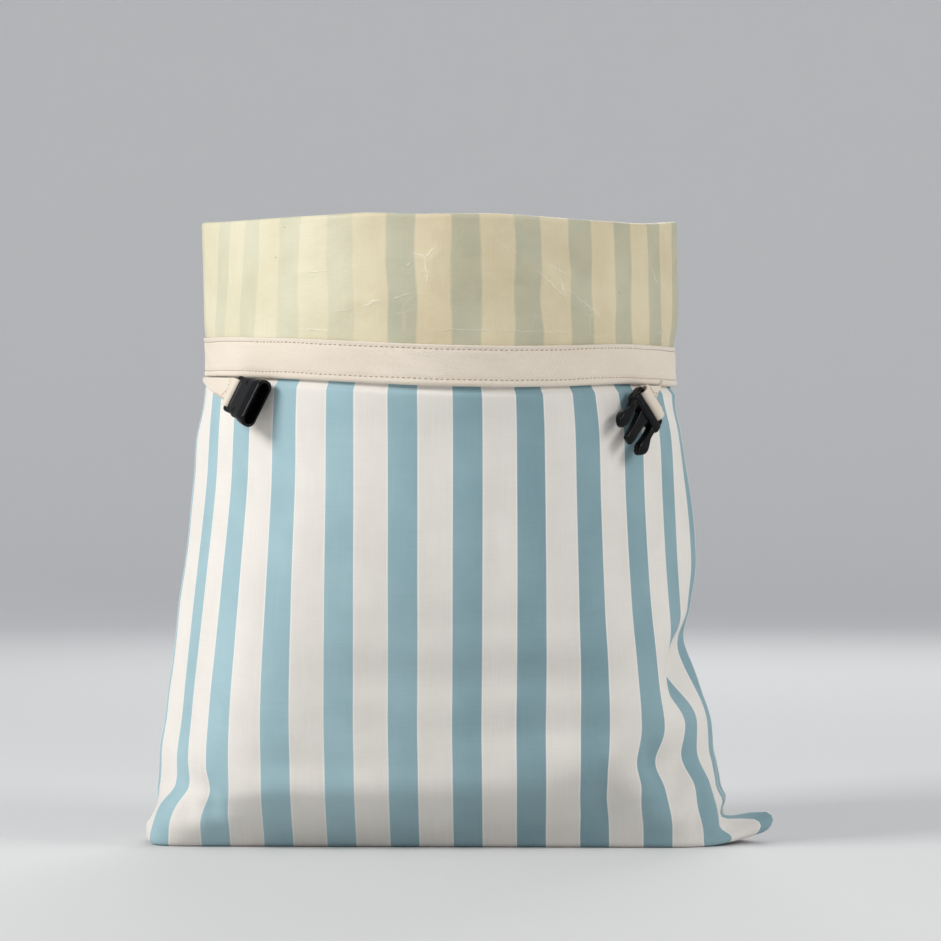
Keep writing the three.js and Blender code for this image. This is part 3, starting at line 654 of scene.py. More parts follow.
def rings_of(shares, half_wide, half_thick, corner):
    """Rings of points, one for each row of sizes; the corner's radius is held below both half sizes."""
    w, h = np.asarray(half_wide, float)[:, None], np.asarray(half_thick, float)[:, None]
    r = np.minimum(corner, np.minimum(w, h))
    x_share, y_share, c, s = shares[:, None]
    return x_share * (w - r) + r * c, y_share * (h - r) + r * s


def filled_rings(rings):
    """Rings joined by four-sided faces, both end rings filled, and all faces turned outwards."""
    index = numbered(*rings.shape[:2])
    points = rings.reshape(-1, 3)
    quads = grid_faces(index, closed=True)
    a, b, c, d = points[quads].transpose(1, 0, 2)
    volume = np.sum(a * np.cross(b, c)) + np.sum(a * np.cross(c, d))
    faces = [quads, index[:1, ::-1], index[-1:]]
    return points, faces if volume > 0 else [f[:, ::-1] for f in faces]


def rod(rows, corner, edge, wide=4, thick=4):
    """A round-cornered bar that follows a table of forward, across, half width and half thickness on smooth
    curves; a quarter circle of radius `edge` rounds both of its ends."""
    rows = np.array(rows, float)
    rows = np.concatenate([np.arange(len(rows))[:, None], rows], 1)
    at = curve_through(rows, np.linspace(0, len(rows) - 1, 8 * len(rows)))[:, 1:]
    way = unit(np.gradient(at[:, :2], axis=0))
    a = np.radians(np.array([4, 30, 60, 90]))
    first = np.repeat(at[:1], 4, 0)
    first[:, :2] -= way[:1] * (edge * np.cos(a))[:, None]
    first[:, 2:] -= (edge * (1 - np.sin(a)))[:, None]
    last = np.repeat(at[-1:], 4, 0)
    last[:, :2] += way[-1:] * (edge * np.cos(a[::-1]))[:, None]
    last[:, 2:] -= (edge * (1 - np.sin(a[::-1])))[:, None]
    at = np.concatenate([first, at[1:-1], last])
    way = np.concatenate([np.repeat(way[:1], 4, 0), way[1:-1], np.repeat(way[-1:], 4, 0)])
    caps = [at[:1] * (1, 1, 0.02, 0.02), at, at[-1:] * (1, 1, 0.02, 0.02)]
    at, way = np.concatenate(caps), np.concatenate([way[:1], way, way[-1:]])
    x, y = rings_of(edge_shares(wide, thick, 4), at[:, 2], at[:, 3], corner)
    return np.stack([at[:, :1] - way[:, 1:] * x, at[:, 1:2] + way[:, :1] * x, y], -1)


def frame_rod(half_across, cheek_to):
    """The two cheeks and the bar between them that the tape is looped round, bent from one rod."""
    half = [
        (cheek_to, half_across, 1.2, 2.4),
        (3.6, half_across + 0.2, 1.2, 2.4),
        (1.2, half_across - 0.2, 1.25, 2.2),
        (0, half_across - 2.0, 1.3, 1.6),
        (0, half_across - 5.0, 1.3, 1.3),
    ]
    return rod(half + [(f, -a, w, h) for f, a, w, h in half[::-1]], 1.1, 0.5)


SHELL_FROM, SHELL_TO = 5.0, 24.5  # the socket's hollow body, counted forward from the bar
MOUTH_WIDE, MOUTH_THICK = 13.5, 4.7  # half sizes
SLOT_WIDE, SLOT_THICK, SLOT_FROM = 11.7, 3.2, 9.5
SHELL_CORNER, LIP, SLOT_LIP = 4.2, 0.9, 0.6  # radii of its long corners and of both edges of its mouth
PRESS_AT, PRESS_IN, RIDGE_AT = 13.2, 5.6, 8.0  # the hollows' tips, their reach in from the edge, the rib


def socket_shell():
    """A hollow body: a round-cornered section that widens towards the mouth, turns over a round lip and goes
    back in as the slot, whose end is closed. A V-shaped hollow is pressed into both edges."""
    quarter = np.radians(np.linspace(0, 90, 6))
    t = np.linspace(0, 1, 40)
    wide, thick = mix(10.4, MOUTH_WIDE, smooth(t * 1.1)), mix(3.8, MOUTH_THICK, smooth(t))
    rounding = np.cos(quarter[::-1]) - 1
    start = [SHELL_FROM + 1 - np.sin(quarter[::-1]), wide[0] + rounding, thick[0] + rounding]
    wall = [mix(SHELL_FROM + 1, SHELL_TO - LIP, t), wide, thick]
    lip = [SHELL_TO - LIP + LIP * np.sin(quarter), MOUTH_WIDE - LIP * (1 - np.cos(quarter))]
    lip.append(lip[1] - MOUTH_WIDE + MOUTH_THICK)
    turn = [SHELL_TO - SLOT_LIP * (1 - np.cos(quarter)), SLOT_WIDE + SLOT_LIP * (1 - np.sin(quarter))]
    turn.append(turn[1] - SLOT_WIDE + SLOT_THICK)
    inner = np.linspace(SHELL_TO - 2 * SLOT_LIP, SLOT_FROM, 10)
    slot = [inner, SLOT_WIDE + 0 * inner, SLOT_THICK + 0 * inner]
    caps = [[[SHELL_FROM], [0.3], [0.1]], [[SLOT_FROM], [0.3], [0.1]]]
    f, w, h = np.concatenate([np.array(part) for part in (caps[0], start, wall, lip, turn, slot, caps[1])], 1)
    shares = edge_shares(34, 4, 9)
    x, y = rings_of(shares, w, h, SHELL_CORNER)
    outer = (np.arange(len(f)) < 1 + len(quarter) + len(t))[:, None]
    into = np.abs(x) - (w[:, None] - PRESS_IN)
    press = smooth((0.62 * into - np.abs(f[:, None] - PRESS_AT)) / 0.9) * outer
    x = x - np.sign(x) * 2.0 * press * np.abs(shares[2])
    y = y - np.sign(y) * 1.4 * press * np.abs(shares[3])
    ridge = smooth((np.abs(f[:, None] - RIDGE_AT) - 0.3) / 0.5)
    y = y - np.sign(y) * 0.35 * (1 - ridge) * outer * np.abs(shares[3])
    return np.stack([f[:, None] + 0 * x, x, y], -1)


def joined_half(name, hang, parts, material):
    """One half of the buckle, its parts given as rings counted forward, across and away from its bar."""
    origin, forward, up, away = cloth_frame(*hang)
    points, faces, polish, start = [], [], [], 0
    for rings, shine in parts:
        placed = origin + rings[..., :1] * forward + rings[..., 1:2] * up + rings[..., 2:] * away
        part_points, part_faces = filled_rings(placed)
        points.append(part_points)
        faces += [f + start for f in part_faces]
        polish.append(np.broadcast_to(shine(rings[..., 0]), rings.shape[:2]).ravel())
        start += len(part_points)
    piece = new_mesh(name, np.concatenate(points), faces, None, material)
    attribute = piece.data.attributes.new("polish", "FLOAT", "POINT")
    attribute.data.foreach_set("value", np.concatenate(polish).astype(np.float32))
    return piece


def buckle_socket():
    """The hollow body, polished near its mouth, and the frame that the tape is looped round."""
    shell_shine = lambda f: smooth((f - 17.2) / 1.6)
    parts = [(socket_shell(), shell_shine), (frame_rod(9.2, 7.5), lambda f: 0.6 + 0 * f)]
    return joined_half("socket_half", SOCKET_HANG, parts, PLASTIC)


# Half of the plug's shapes, as forward, across, half width and half thickness.
ARM = (
    (9.0, 9.9, 2.2, 2.6),
    (13.0, 9.7, 1.9, 2.5),
    (17.0, 9.8, 2.0, 2.5),
    (20.5, 10.3, 2.9, 2.5),
    (24.0, 10.6, 3.5, 2.5),
    (27.0, 10.2, 3.0, 2.3),
    (29.0, 9.6, 1.7, 1.9),
)
GUIDE = ((8.0, 0, 4.6, 2.1), (14, 0, 3.7, 2.0), (20, 0, 3.2, 1.9), (27, 0, 3.2, 1.8), (30.5, 0, 2.8, 1.5))


def buckle_plug():
    """A cross block with its frame behind it, the middle guide and the two side arms ahead of it."""
    shine = lambda f: 1.0 + 0 * f
    block = rod(((7.6, -11.8, 3.0, 3.3), (7.6, 0, 3.0, 3.5), (7.6, 11.8, 3.0, 3.3)), 1.4, 1.0)
    mirrored = tuple((f, -a, w, h) for f, a, w, h in ARM)
    parts = [block, frame_rod(11.6, 6.5), rod(GUIDE, 0.8, 0.7), rod(ARM, 0.9, 0.8), rod(mirrored, 0.9, 0.8)]
    return joined_half("plug_half", PLUG_HANG, [(rings, shine) for rings in parts], PLASTIC)


def behind_bar(hang, back):
    """The place round the bag that lies `back` millimetres behind the bar."""
    return hang.place - hang.way * back * math.cos(math.radians(hang.pitch)) / STRIPE_PITCH


def tab_point(hang, back, across, layer):
    """A point of a tab's tape, `back` behind the bar. It lies on the cloth and rises smoothly to the bar,
    where its two layers part to go round it; layer is 1 for the outer one and -1 for the inner one."""
    behind = behind_bar(hang, back)
    height = hang.z + back * math.sin(math.radians(hang.pitch))
    settle = smooth(back / TAB_RISE)
    lying = cloth_frame(behind, height, mix(hang.stand, TAB_REST, settle), hang.way, hang.pitch)
    origin, forward, up, away = cloth_frame(*hang)
    back, settle = np.asarray(back)[..., None], np.asarray(settle)[..., None]
    centre = mix(origin - forward * back, lying[0], settle)
    ups, outs = unit(mix(up, lying[2], settle)), unit(mix(away, lying[3], settle))
    half = TAPE_APART + (hang.loop - TAPE_APART) * (1 - smooth(back / 6.5))
    return centre + ups * np.asarray(across)[..., None] + outs * half * layer, ups, outs


def tab_sheet(name, hang, half_wide, length):
    """Tape from under the band to the bar, half a circle round it and back. Where it would pass the band's
    lower edge it stops, so that its upper side follows that edge."""
    back = length * np.linspace(1, 0, 40) ** 1.25
    low, ups, _ = tab_point(hang, back, 0 * back - half_wide, 1)
    foot = height_at(BAND_FOOT, behind_bar(hang, back))
    room = np.clip((foot - 0.55 - low[:, 2]) / ups[:, 2], 0.4, 2 * half_wide)
    across = -half_wide + room[:, None] * np.linspace(0, 1, 17)
    layers = [tab_point(hang, back[:, None] + 0 * across, across, layer)[0] for layer in (1, -1)]
    origin, forward, up, away = cloth_frame(*hang)
    angle = np.radians(np.linspace(90, -90, 15))[1:-1, None, None]
    middle = origin + across[-1][None, :, None] * up
    bend = middle + hang.loop * (np.cos(angle) * forward + np.sin(angle) * away)
    grid = np.concatenate([layers[0], bend, layers[1][::-1]])
    along = run_along(grid[:, :1])
    wide = np.concatenate([across, np.repeat(across[-1:], len(bend), 0), across[::-1]])
    uv = np.stack([wide, np.broadcast_to(along, wide.shape)], -1) * MM
    faces = grid_faces(numbered(*grid.shape[:2]))
    if hang.way < 0:
        faces = faces[:, ::-1]
    return new_mesh(name, grid.reshape(-1, 3), [faces], uv.reshape(-1, 2), TAPE_CLOTH)


def tab_seams(name, hang, lines):
    """Stitches on a tab's outer layer, along straight lines from (back, across) to (back, across), as far as
    the tab shows below the band."""
    parts = []
    for back_a, across_a, back_b, across_b in lines:
        count = max(2, round(math.hypot(back_b - back_a, across_b - across_a) / (0.8 * STITCH_PITCH)))
        t = (np.arange(count) + 0.5) / count
        back, across = mix(back_a, back_b, t), mix(across_a, across_b, t)
        here, _, outs = tab_point(hang, back, across, 1)
        step = 0.3 / count
        ahead = tab_point(hang, mix(back_a, back_b, t + step), mix(across_a, across_b, t + step), 1)[0]
        below = here[:, 2] < height_at(BAND_FOOT, behind_bar(hang, back)) - 1.6
        here, ahead, outs = here[below], ahead[below], outs[below]
        along = unit(ahead - here)
        side = unit(np.cross(outs, along))
        parts.append((here + outs * (TAPE / 2 + 0.02), along, side, outs))
    centres, along, side, away = (np.concatenate(p) for p in zip(*parts))
    return stitches(name, centres, along, side, away, TAB_STITCH_SIZE, THREAD_YARN)


# ---- Material tools ----------------------------------------------------------------------------------
class Nodes:
    """Short ways to add nodes to a node tree and join them."""

    def __init__(self, tree):
        """Takes the node tree that the nodes go into."""
        self.tree = tree

    def add(self, kind, inputs=None, **settings):
        """A node with its settings, each input joined to a socket or set to a value."""
        node = self.tree.nodes.new(kind)
        for key, value in settings.items():
            setattr(node, key, value)
        self.feed(node, inputs or {})
        return node

    def feed(self, node, inputs):
        """Joins a node's inputs to sockets, or sets them to values."""
        for key, value in inputs.items():
            if isinstance(value, bpy.types.NodeSocket):
                self.tree.links.new(value, node.inputs[key])
            else:
                node.inputs[key].default_value = value

    def part(self, vector, axis):
        """One of a vector's three parts."""
        return self.add("ShaderNodeSeparateXYZ", {0: vector}).outputs[axis]

    def object_place(self):
        """The place in the piece's own frame, in metres."""
        return self.add("ShaderNodeTexCoord").outputs["Object"]

    def math(self, operation, a, b=0.0, clamp=False):
        """One sum on one or two values."""
        return self.add("ShaderNodeMath", {0: a, 1: b}, operation=operation, use_clamp=clamp).outputs[0]

    def plus(self, a, b):
        """The sum of two values."""
        return self.math("ADD", a, b)

    def times(self, a, b):
        """The product of two values."""
        return self.math("MULTIPLY", a, b)

    def ramp(self, value, low, high, to_low=0.0, to_high=1.0):
        """A smooth step from to_low at low to to_high at high."""
        inputs = {"Value": value, "From Min": low, "From Max": high, "To Min": to_low, "To Max": to_high}
        return self.add("ShaderNodeMapRange", inputs, interpolation_type="SMOOTHSTEP").outputs[0]

    def noise(self, vector, scale, detail=2.0, roughness=0.5):
        """Cloudy noise between 0 and 1."""
        inputs = {"Vector": vector, "Scale": scale, "Detail": detail, "Roughness": roughness}
        return self.add("ShaderNodeTexNoise", inputs).outputs["Fac"]

    def colour(self, factor, a, b):
        """The colour a where the factor is 0, and b where it is 1."""
        inputs = {"Factor": factor, "A": a, "B": b}
        return self.add("ShaderNodeMix", inputs, data_type="RGBA").outputs["Result"]

    def scaled(self, vector, factor):
        """A vector or colour times a value."""
        return self.add("ShaderNodeVectorMath", {0: vector, "Scale": factor}, operation="SCALE").outputs[0]

    def vectors(self, operation, a, b):
        """One sum on two vectors, or on two colours."""
        return self.add("ShaderNodeVectorMath", {0: a, 1: b}, operation=operation).outputs[0]

    def drift(self, vector, scale, detail, reach):
        """The vector moved about by up to half of `reach`, by cloudy noise."""
        cloud = self.add("ShaderNodeTexNoise", {"Vector": vector, "Scale": scale, "Detail": detail})
        centred = self.vectors("SUBTRACT", cloud.outputs["Color"], (0.5, 0.5, 0.5))
        return self.vectors("ADD", vector, self.scaled(centred, reach))

    def bump(self, shader, height, strength=1.0):
        """Leads a height, in metres, to a shader's normal."""
        node = self.add("ShaderNodeBump", {"Height": height, "Distance": 1.0, "Strength": strength})
        self.feed(shader, {"Normal": node.outputs[0]})

    def stretch(self, vector, scale):
        """A pattern's vector times three factors."""
        inputs = {"Vector": vector, "Scale": scale}
        return self.add("ShaderNodeMapping", inputs).outputs["Vector"]


def new_group(name, inputs, outputs):
    """An empty node group with the named inputs, each with its default, and outputs. Gives the tree, its
    tools, the inputs' sockets and the node that takes the outputs."""
    tree = bpy.data.node_groups.new(name, "ShaderNodeTree")
    for label, kind, default in inputs:
        socket = tree.interface.new_socket(name=label, in_out="INPUT", socket_type=kind)
        if default is not None:
            socket.default_value = default
    for label, kind in outputs:
        tree.interface.new_socket(name=label, in_out="OUTPUT", socket_type=kind)
    nodes = Nodes(tree)
    return tree, nodes, nodes.add("NodeGroupInput").outputs, nodes.add("NodeGroupOutput")


def weave_group():
    """A plain weave: crossing sine waves for the yarns, strong in some patches and faint in others, and
    noise drawn out along each set of yarns for its slubs."""
    tree, n, i, o = new_group(
        "weave",
        [("Vector", "NodeSocketVector", None), ("Pitch", "NodeSocketFloat", 0.0009)],
        [("Height", "NodeSocketFloat"), ("Slubs", "NodeSocketFloat"), ("Dots", "NodeSocketFloat")],
    )
    place = n.add("ShaderNodeSeparateXYZ", {0: i["Vector"]}).outputs
    turns = n.math("DIVIDE", 2 * math.pi, i["Pitch"])
    warp = n.math("SINE", n.times(place["X"], turns))
    weft = n.math("SINE", n.times(place["Y"], turns))
    cross = n.times(warp, weft)
    patches = n.ramp(n.noise(i["Vector"], 55, 3), 0.42, 0.62, 0.25, 1.0)
    dots = n.times(cross, patches)
    along = n.noise(n.stretch(i["Vector"], (1, 0.02, 1)), 1500, 2)
    across = n.noise(n.stretch(i["Vector"], (0.02, 1, 1)), 1500, 2)
    slubs = n.times(n.plus(along, across), 0.5)
    height = n.plus(n.times(cross, 0.35), n.times(slubs, 0.5))
    n.feed(o, {"Height": height, "Slubs": slubs, "Dots": dots})
    return tree


WEAVE = weave_group()


def new_material(name):
    """A material with a plain shader, and the tools for its node tree."""
    material = bpy.data.materials.new(name)
    material.use_nodes = True
    material.node_tree.nodes.clear()
    n = Nodes(material.node_tree)
    shader = n.add("ShaderNodeBsdfPrincipled")
    n.add("ShaderNodeOutputMaterial", {"Surface": shader.outputs[0]})
    return material, n, shader


def cloth_place(n):
    """The distances round the bag and along the cloth, in metres."""
    return n.add("ShaderNodeUVMap", uv_map="cloth").outputs[0]


def weave_node(n, vector, pitch):
    """The weave at a pitch of its yarns, in metres."""
    return n.add("ShaderNodeGroup", {"Vector": vector, "Pitch": pitch}, node_tree=WEAVE).outputs


def round_bag(place):
    """The distance round the bag, in metres, of a place counted in stripe pitches."""
    return place * STRIPE_PITCH * MM


def stripe_mask(n, vector, wider, soft):
    """1 on the blue stripes, each made wider on both sides by a share of the pitch, and 0 between them."""
    across = n.part(vector, "X")
    turn = n.math("FRACT", n.plus(n.math("DIVIDE", across, round_bag(1)), wider + soft / 2))
    rise = n.ramp(turn, 0.0, soft)
    end = BLUE_SHARE + 2 * wider
    fall = n.ramp(turn, end, end + soft, 1.0, 0.0)
    return n.times(rise, fall)


def seam_distance(n, across, place):
    """How far the cloth's own distance round the bag is from a side seam."""
    return n.math("ABSOLUTE", n.math("SUBTRACT", across, round_bag(place)))


def linen_material():
    """Off-white linen with blue stripes, a fine white line beside each stripe and a pale line along both
    seams.
    The blue is lighter near the left corner, a painted sheen, and deeper away from it, painted shade; the
    lowest part of the cloth is darkened, painted shade near the floor."""
    material, n, shader = new_material("striped_linen")
    place = cloth_place(n)
    weave = weave_node(n, place, THREAD * MM)
    across = n.part(place, "X")
    up = n.part(place, "Y")
    mask = stripe_mask(n, place, 0, 0.014)
    beside = stripe_mask(n, place, LINE_SHARE, 0.014)
    fade = n.ramp(n.noise(place, 30, 4), 0.3, 0.7)
    # Painted light on the blue: lighter near the left corner for a painted sheen, deeper in the middle for
    # painted shade, a little lighter again towards the right.
    deeper = n.ramp(across, round_bag(3.6), round_bag(7.6))
    lighter = n.ramp(across, round_bag(7.4), round_bag(9.2), 0.0, 0.2)
    depth = n.math("SUBTRACT", deeper, lighter)
    white = n.colour(fade, (0.80, 0.765, 0.715, 1), (0.76, 0.725, 0.675, 1))
    white = n.colour(beside, white, (0.84, 0.815, 0.775, 1))
    to_seam = n.math("MINIMUM", seam_distance(n, across, SEAM_LEFT), seam_distance(n, across, SEAM_RIGHT))
    on_seam = n.ramp(to_seam, 0.4 * MM, 0.9 * MM, 0.85, 0.0)
    sheen_blue = n.colour(fade, (0.37, 0.535, 0.585, 1), (0.33, 0.49, 0.54, 1))
    shaded_blue = n.colour(fade, (0.245, 0.375, 0.415, 1), (0.215, 0.34, 0.38, 1))
    colour = n.colour(mask, white, n.colour(depth, sheen_blue, shaded_blue))
    dots = n.times(weave["Dots"], n.plus(0.06, n.times(mask, 0.12)))
    shade = n.plus(n.ramp(weave["Slubs"], 0.3, 0.7, 0.965, 1.02), dots)
    # Painted shade: the cloth darkens over its lowest 70 mm, standing for the shade low down near the floor.
    shade = n.times(shade, n.ramp(up, 0.0, 0.07, 0.93, 1.0))
    colour = n.colour(on_seam, colour, (0.86, 0.84, 0.80, 1))
    n.feed(shader, {"Base Color": n.scaled(colour, shade), "Roughness": 0.85})
    n.feed(shader, {"Specular IOR Level": 0.25, "Sheen Weight": 0.1})
    wrinkles = n.noise(n.stretch(place, (1, 0.4, 1)), 26, 3, 0.5)
    yarns = n.times(weave["Height"], 0.00009)
    n.bump(shader, n.plus(yarns, n.times(wrinkles, 0.0022)), 0.5)
    return material


# Fine light creases of the waxed cloth's cuff: x and height of both ends, in millimetres, and width.
CRINKLES = (
    (-30.0, 321.2, -23.5, 317.8, 0.7),
    (-23.5, 317.8, -18.8, 323.8, 0.8),
    (-23.5, 317.8, -22.7, 309.5, 0.9),
    (-22.7, 309.5, -22.2, 305.0, 0.6),
    (-33.5, 314.0, -29.5, 317.0, 0.5),
    (-88.0, 312.0, -74.5, 312.5, 0.45),
    (-71.0, 291.0, -63.0, 291.6, 0.4),
    (-40.5, 297.0, -32.0, 299.5, 0.6),
    (-57.0, 293.0, -47.5, 296.5, 0.9),
    (-92.0, 281.5, -75.0, 280.8, 0.6),
    (-21.5, 280.6, 52.0, 280.0, 0.5),
    (36.5, 311.8, 50.0, 298.8, 0.8),
    (47.0, 318.0, 47.3, 309.5, 0.6),
    (42.0, 315.2, 51.0, 311.0, 0.7),
    (47.3, 309.5, 50.5, 298.8, 0.8),
    (50.5, 304.0, 68.0, 290.5, 0.5),
    (63.0, 296.0, 76.0, 283.0, 0.5),
    (-132.0, 322.0, -131.0, 308.0, 0.5),
    (99.0, 318.0, 103.0, 309.0, 0.5),
)


def crinkle_group():
    """One straight crease: a line of the given width from A to B, fading out across it, 1 on the line."""
    tree, n, i, o = new_group(
        "crinkle",
        [
            ("Vector", "NodeSocketVector", None),
            ("A", "NodeSocketVector", None),
            ("B", "NodeSocketVector", None),
            ("Width", "NodeSocketFloat", 0.0006),
        ],
        [("Line", "NodeSocketFloat")],
    )
    value = lambda kind, a, b: n.add("ShaderNodeVectorMath", {0: a, 1: b}, operation=kind).outputs["Value"]
    whole = n.vectors("SUBTRACT", i["B"], i["A"])
    part = n.vectors("SUBTRACT", i["Vector"], i["A"])
    along = value("DOT_PRODUCT", part, whole)
    along = n.math("DIVIDE", along, value("DOT_PRODUCT", whole, whole), clamp=True)
    gap = value("DISTANCE", part, n.scaled(whole, along))
    fade = n.ramp(n.math("ABSOLUTE", n.math("SUBTRACT", along, 0.5)), 0.25, 0.5, 1.0, 0.35)
    line = n.ramp(n.math("DIVIDE", gap, i["Width"]), 0.1, 1.0, 1.0, 0.0)
    n.feed(o, {"Line": n.times(line, fade)})
    return tree


def crinkle_lines(n):
    """The crinkles of the cuff, their lines a little wavy, on the front of the bag alone."""
    where = n.object_place()
    flat = n.vectors("MULTIPLY", n.drift(where, 240, 2, 0.0028), (1, 0, 1))
    group = crinkle_group()
    total = None
    for xa, za, xb, zb, width in CRINKLES:
        ends = {"A": (xa * MM, 0, za * MM), "B": (xb * MM, 0, zb * MM), "Width": width * MM}
        line = n.add("ShaderNodeGroup", {"Vector": flat, **ends}, node_tree=group).outputs["Line"]
        total = line if total is None else n.math("MAXIMUM", total, line)
    depth = n.part(where, "Y")
    return n.times(total, n.ramp(depth, -0.03, 0.0, 1.0, 0.0))


def lining_material():
    """Waxed cloth: the linen's stripes show through it, faintly at the left, with crackles, creases and
    specks."""
    material, n, shader = new_material("waxed_lining")
    place = cloth_place(n)
    weave = weave_node(n, place, 0.0007)
    across = n.part(place, "X")
    mask = stripe_mask(n, n.drift(place, 28, 1, 0.005), 0, 0.05)
    patches = n.ramp(n.noise(place, 22, 4), 0.35, 0.65)
    from_left = n.ramp(across, round_bag(3.2), round_bag(6.0))
    left = n.colour(patches, (0.74, 0.695, 0.515, 1), (0.69, 0.64, 0.455, 1))
    right = n.colour(patches, (0.72, 0.63, 0.43, 1), (0.65, 0.56, 0.37, 1))
    wax = n.colour(from_left, left, right)
    clearer = n.ramp(across, round_bag(4.4), round_bag(5.2), 0.42, 1.0)
    strength = n.times(mask, clearer)
    strength = n.times(strength, n.ramp(n.noise(place, 60, 4), 0.3, 0.7, 0.8, 1.0))
    shadow = n.colour(strength, (1, 1, 1, 1), (0.71, 0.795, 0.85, 1))
    colour = n.vectors("MULTIPLY", wax, shadow)
    lines = crinkle_lines(n)
    cells = {"Vector": place, "Scale": 85, "Randomness": 1.0}
    crackle = n.add("ShaderNodeTexVoronoi", cells, feature="DISTANCE_TO_EDGE").outputs["Distance"]
    crackle = n.ramp(crackle, 0.0, 0.035, 1.0, 0.0)
    crackle = n.times(crackle, n.ramp(n.noise(place, 40, 2), 0.55, 0.68))
    light = n.math("MAXIMUM", n.times(lines, 0.36), n.times(crackle, 0.16))
    colour = n.colour(light, colour, (0.86, 0.83, 0.72, 1))
    specks = n.add("ShaderNodeTexVoronoi", {"Vector": place, "Scale": 62}, feature="F1").outputs["Distance"]
    specks = n.ramp(specks, 0.02, 0.05, 1.0, 0.0)
    specks = n.times(specks, n.ramp(n.noise(place, 35, 0), 0.56, 0.6))
    colour = n.colour(n.times(specks, 0.6), colour, (0.22, 0.17, 0.08, 1))
    colour = n.scaled(colour, n.ramp(weave["Slubs"], 0.3, 0.7, 0.975, 1.015))
    n.feed(shader, {"Base Color": colour, "Specular IOR Level": 0.35})
    n.feed(shader, {"Roughness": n.ramp(n.noise(place, 90, 3), 0.3, 0.7, 0.42, 0.58)})
    crinkle = n.noise(place, 45, 5, 0.6)
    raised = n.plus(n.times(lines, 0.0003), n.times(crackle, 0.00012))
    yarns = n.times(weave["Height"], 0.00005)
    height = n.plus(yarns, n.times(crinkle, 0.0016))
    n.bump(shader, n.plus(height, raised), 0.6)
    return material


def tape_material():
    """Cream cotton tape with a fine, even weave and soft wrinkles along it."""
    material, n, shader = new_material("cream_tape")
    place = n.object_place()
    grain = n.noise(n.stretch(place, (1, 1, 1.5)), 1600, 2)
    patches = n.ramp(n.noise(place, 25, 3), 0.35, 0.65)
    light = n.colour(patches, (0.765, 0.68, 0.57, 1), (0.81, 0.73, 0.625, 1))
    colour = n.colour(n.ramp(grain, 0.35, 0.65), (0.72, 0.63, 0.525, 1), light)
    n.feed(shader, {"Base Color": colour, "Roughness": 0.85, "Sheen Weight": 0.1})
    wrinkles = n.noise(n.stretch(place, (0.35, 0.35, 1)), 70, 3, 0.45)
    n.bump(shader, n.plus(n.times(grain, 0.00012), n.times(wrinkles, 0.0016)))
    return material


def thread_material():
    """Sewing thread, a little lighter and darker along its twist. Its dark tan is partly the thread's own
    colour and partly painted shade, standing for the shadow in the stitches' holes.
    """
    material, n, shader = new_material("sewing_thread")
    place = n.object_place()
    twist = n.noise(place, 1500, 2)
    # Dark tan: partly the thread's own colour, partly painted shade for the shadow in the stitch holes.
    colour = n.colour(twist, (0.33, 0.25, 0.175, 1), (0.43, 0.34, 0.25, 1))
    n.feed(shader, {"Base Color": colour, "Roughness": 0.8})
    return material


def plastic_material():
    """Black plastic, polished where the piece's own `polish` is 1 and matte dark grey where it is 0."""
    material, n, shader = new_material("black_plastic")
    place = n.object_place()
    polish = n.add("ShaderNodeAttribute", attribute_name="polish").outputs["Fac"]
    grain = n.noise(place, 1400, 3)
    matte = n.colour(grain, (0.009, 0.009, 0.0095, 1), (0.015, 0.015, 0.016, 1))
    shiny = n.colour(grain, (0.003, 0.003, 0.0035, 1), (0.006, 0.006, 0.0065, 1))
    n.feed(shader, {"Base Color": n.colour(polish, matte, shiny), "Specular IOR Level": 0.16})
    rough = n.plus(n.times(polish, -0.32), n.ramp(grain, 0.2, 0.8, 0.42, 0.5))
    n.feed(shader, {"Roughness": rough})
    pits = n.times(n.math("SUBTRACT", 1.0, polish), n.times(grain, 0.00012))
    n.bump(shader, pits, 0.5)
    return material


# ---- Camera, light and floor -------------------------------------------------------------------------
CAMERA_AWAY, CAMERA_HEIGHT = 2.0, 0.2065  # in metres
SENSOR = 36  # width in millimetres
FOCAL_PIXELS, PICTURE_PIXELS = 3583, 941  # focal length and width of the picture, both in its points


def place_camera():
    """A level long lens two metres in front of the bag, a little above its middle."""
    camera = bpy.data.objects.new("camera", bpy.data.cameras.new("camera"))
    bpy.context.scene.collection.objects.link(camera)
    camera.location = (0, -CAMERA_AWAY, CAMERA_HEIGHT)
    camera.rotation_euler = (math.radians(90), 0, 0)
    camera.data.sensor_width = SENSOR
    camera.data.lens = SENSOR * FOCAL_PIXELS / PICTURE_PIXELS
    camera.data.clip_end = 20
    bpy.context.scene.camera = camera


def area_light(name, place, aim, size, power, colour=(1, 1, 1)):
    """A square soft light that faces the aim: sizes in metres, power in watts."""
    data = bpy.data.lights.new(name, "AREA")
    data.shape, data.size, data.energy, data.color = "SQUARE", size, power, colour
    light = bpy.data.objects.new(name, data)
    bpy.context.scene.collection.objects.link(light)
    light.location = place
    way = np.subtract(aim, place)
    light.rotation_euler = (
        math.atan2(math.hypot(way[0], way[1]), -way[2]),
        0,
        math.atan2(way[1], way[0]) - math.pi / 2,
    )


def cove():
    """A round studio floor whose edge curves up into a low wall: a quarter ellipse turned about the
    middle."""
    turn = np.linspace(0, 2 * np.pi, 97)[:-1][None]
    bend = np.linspace(0, np.pi / 2, 13)[1:, None]
    flat = np.linspace(0.02, 1, 8)[:, None] * COVE_FLAT
    radius = np.concatenate([flat, COVE_FLAT + COVE_BEND * np.sin(bend)])
    height = np.concatenate([0 * flat, COVE_HEIGHT * (1 - np.cos(bend))])
    rings = np.stack([radius * np.cos(turn), radius * np.sin(turn), height + 0 * turn], -1)
    index = numbered(*rings.shape[:2])
    faces = [grid_faces(index, closed=True)[:, ::-1], index[:1]]
    return new_mesh("floor", rings.reshape(-1, 3), faces)


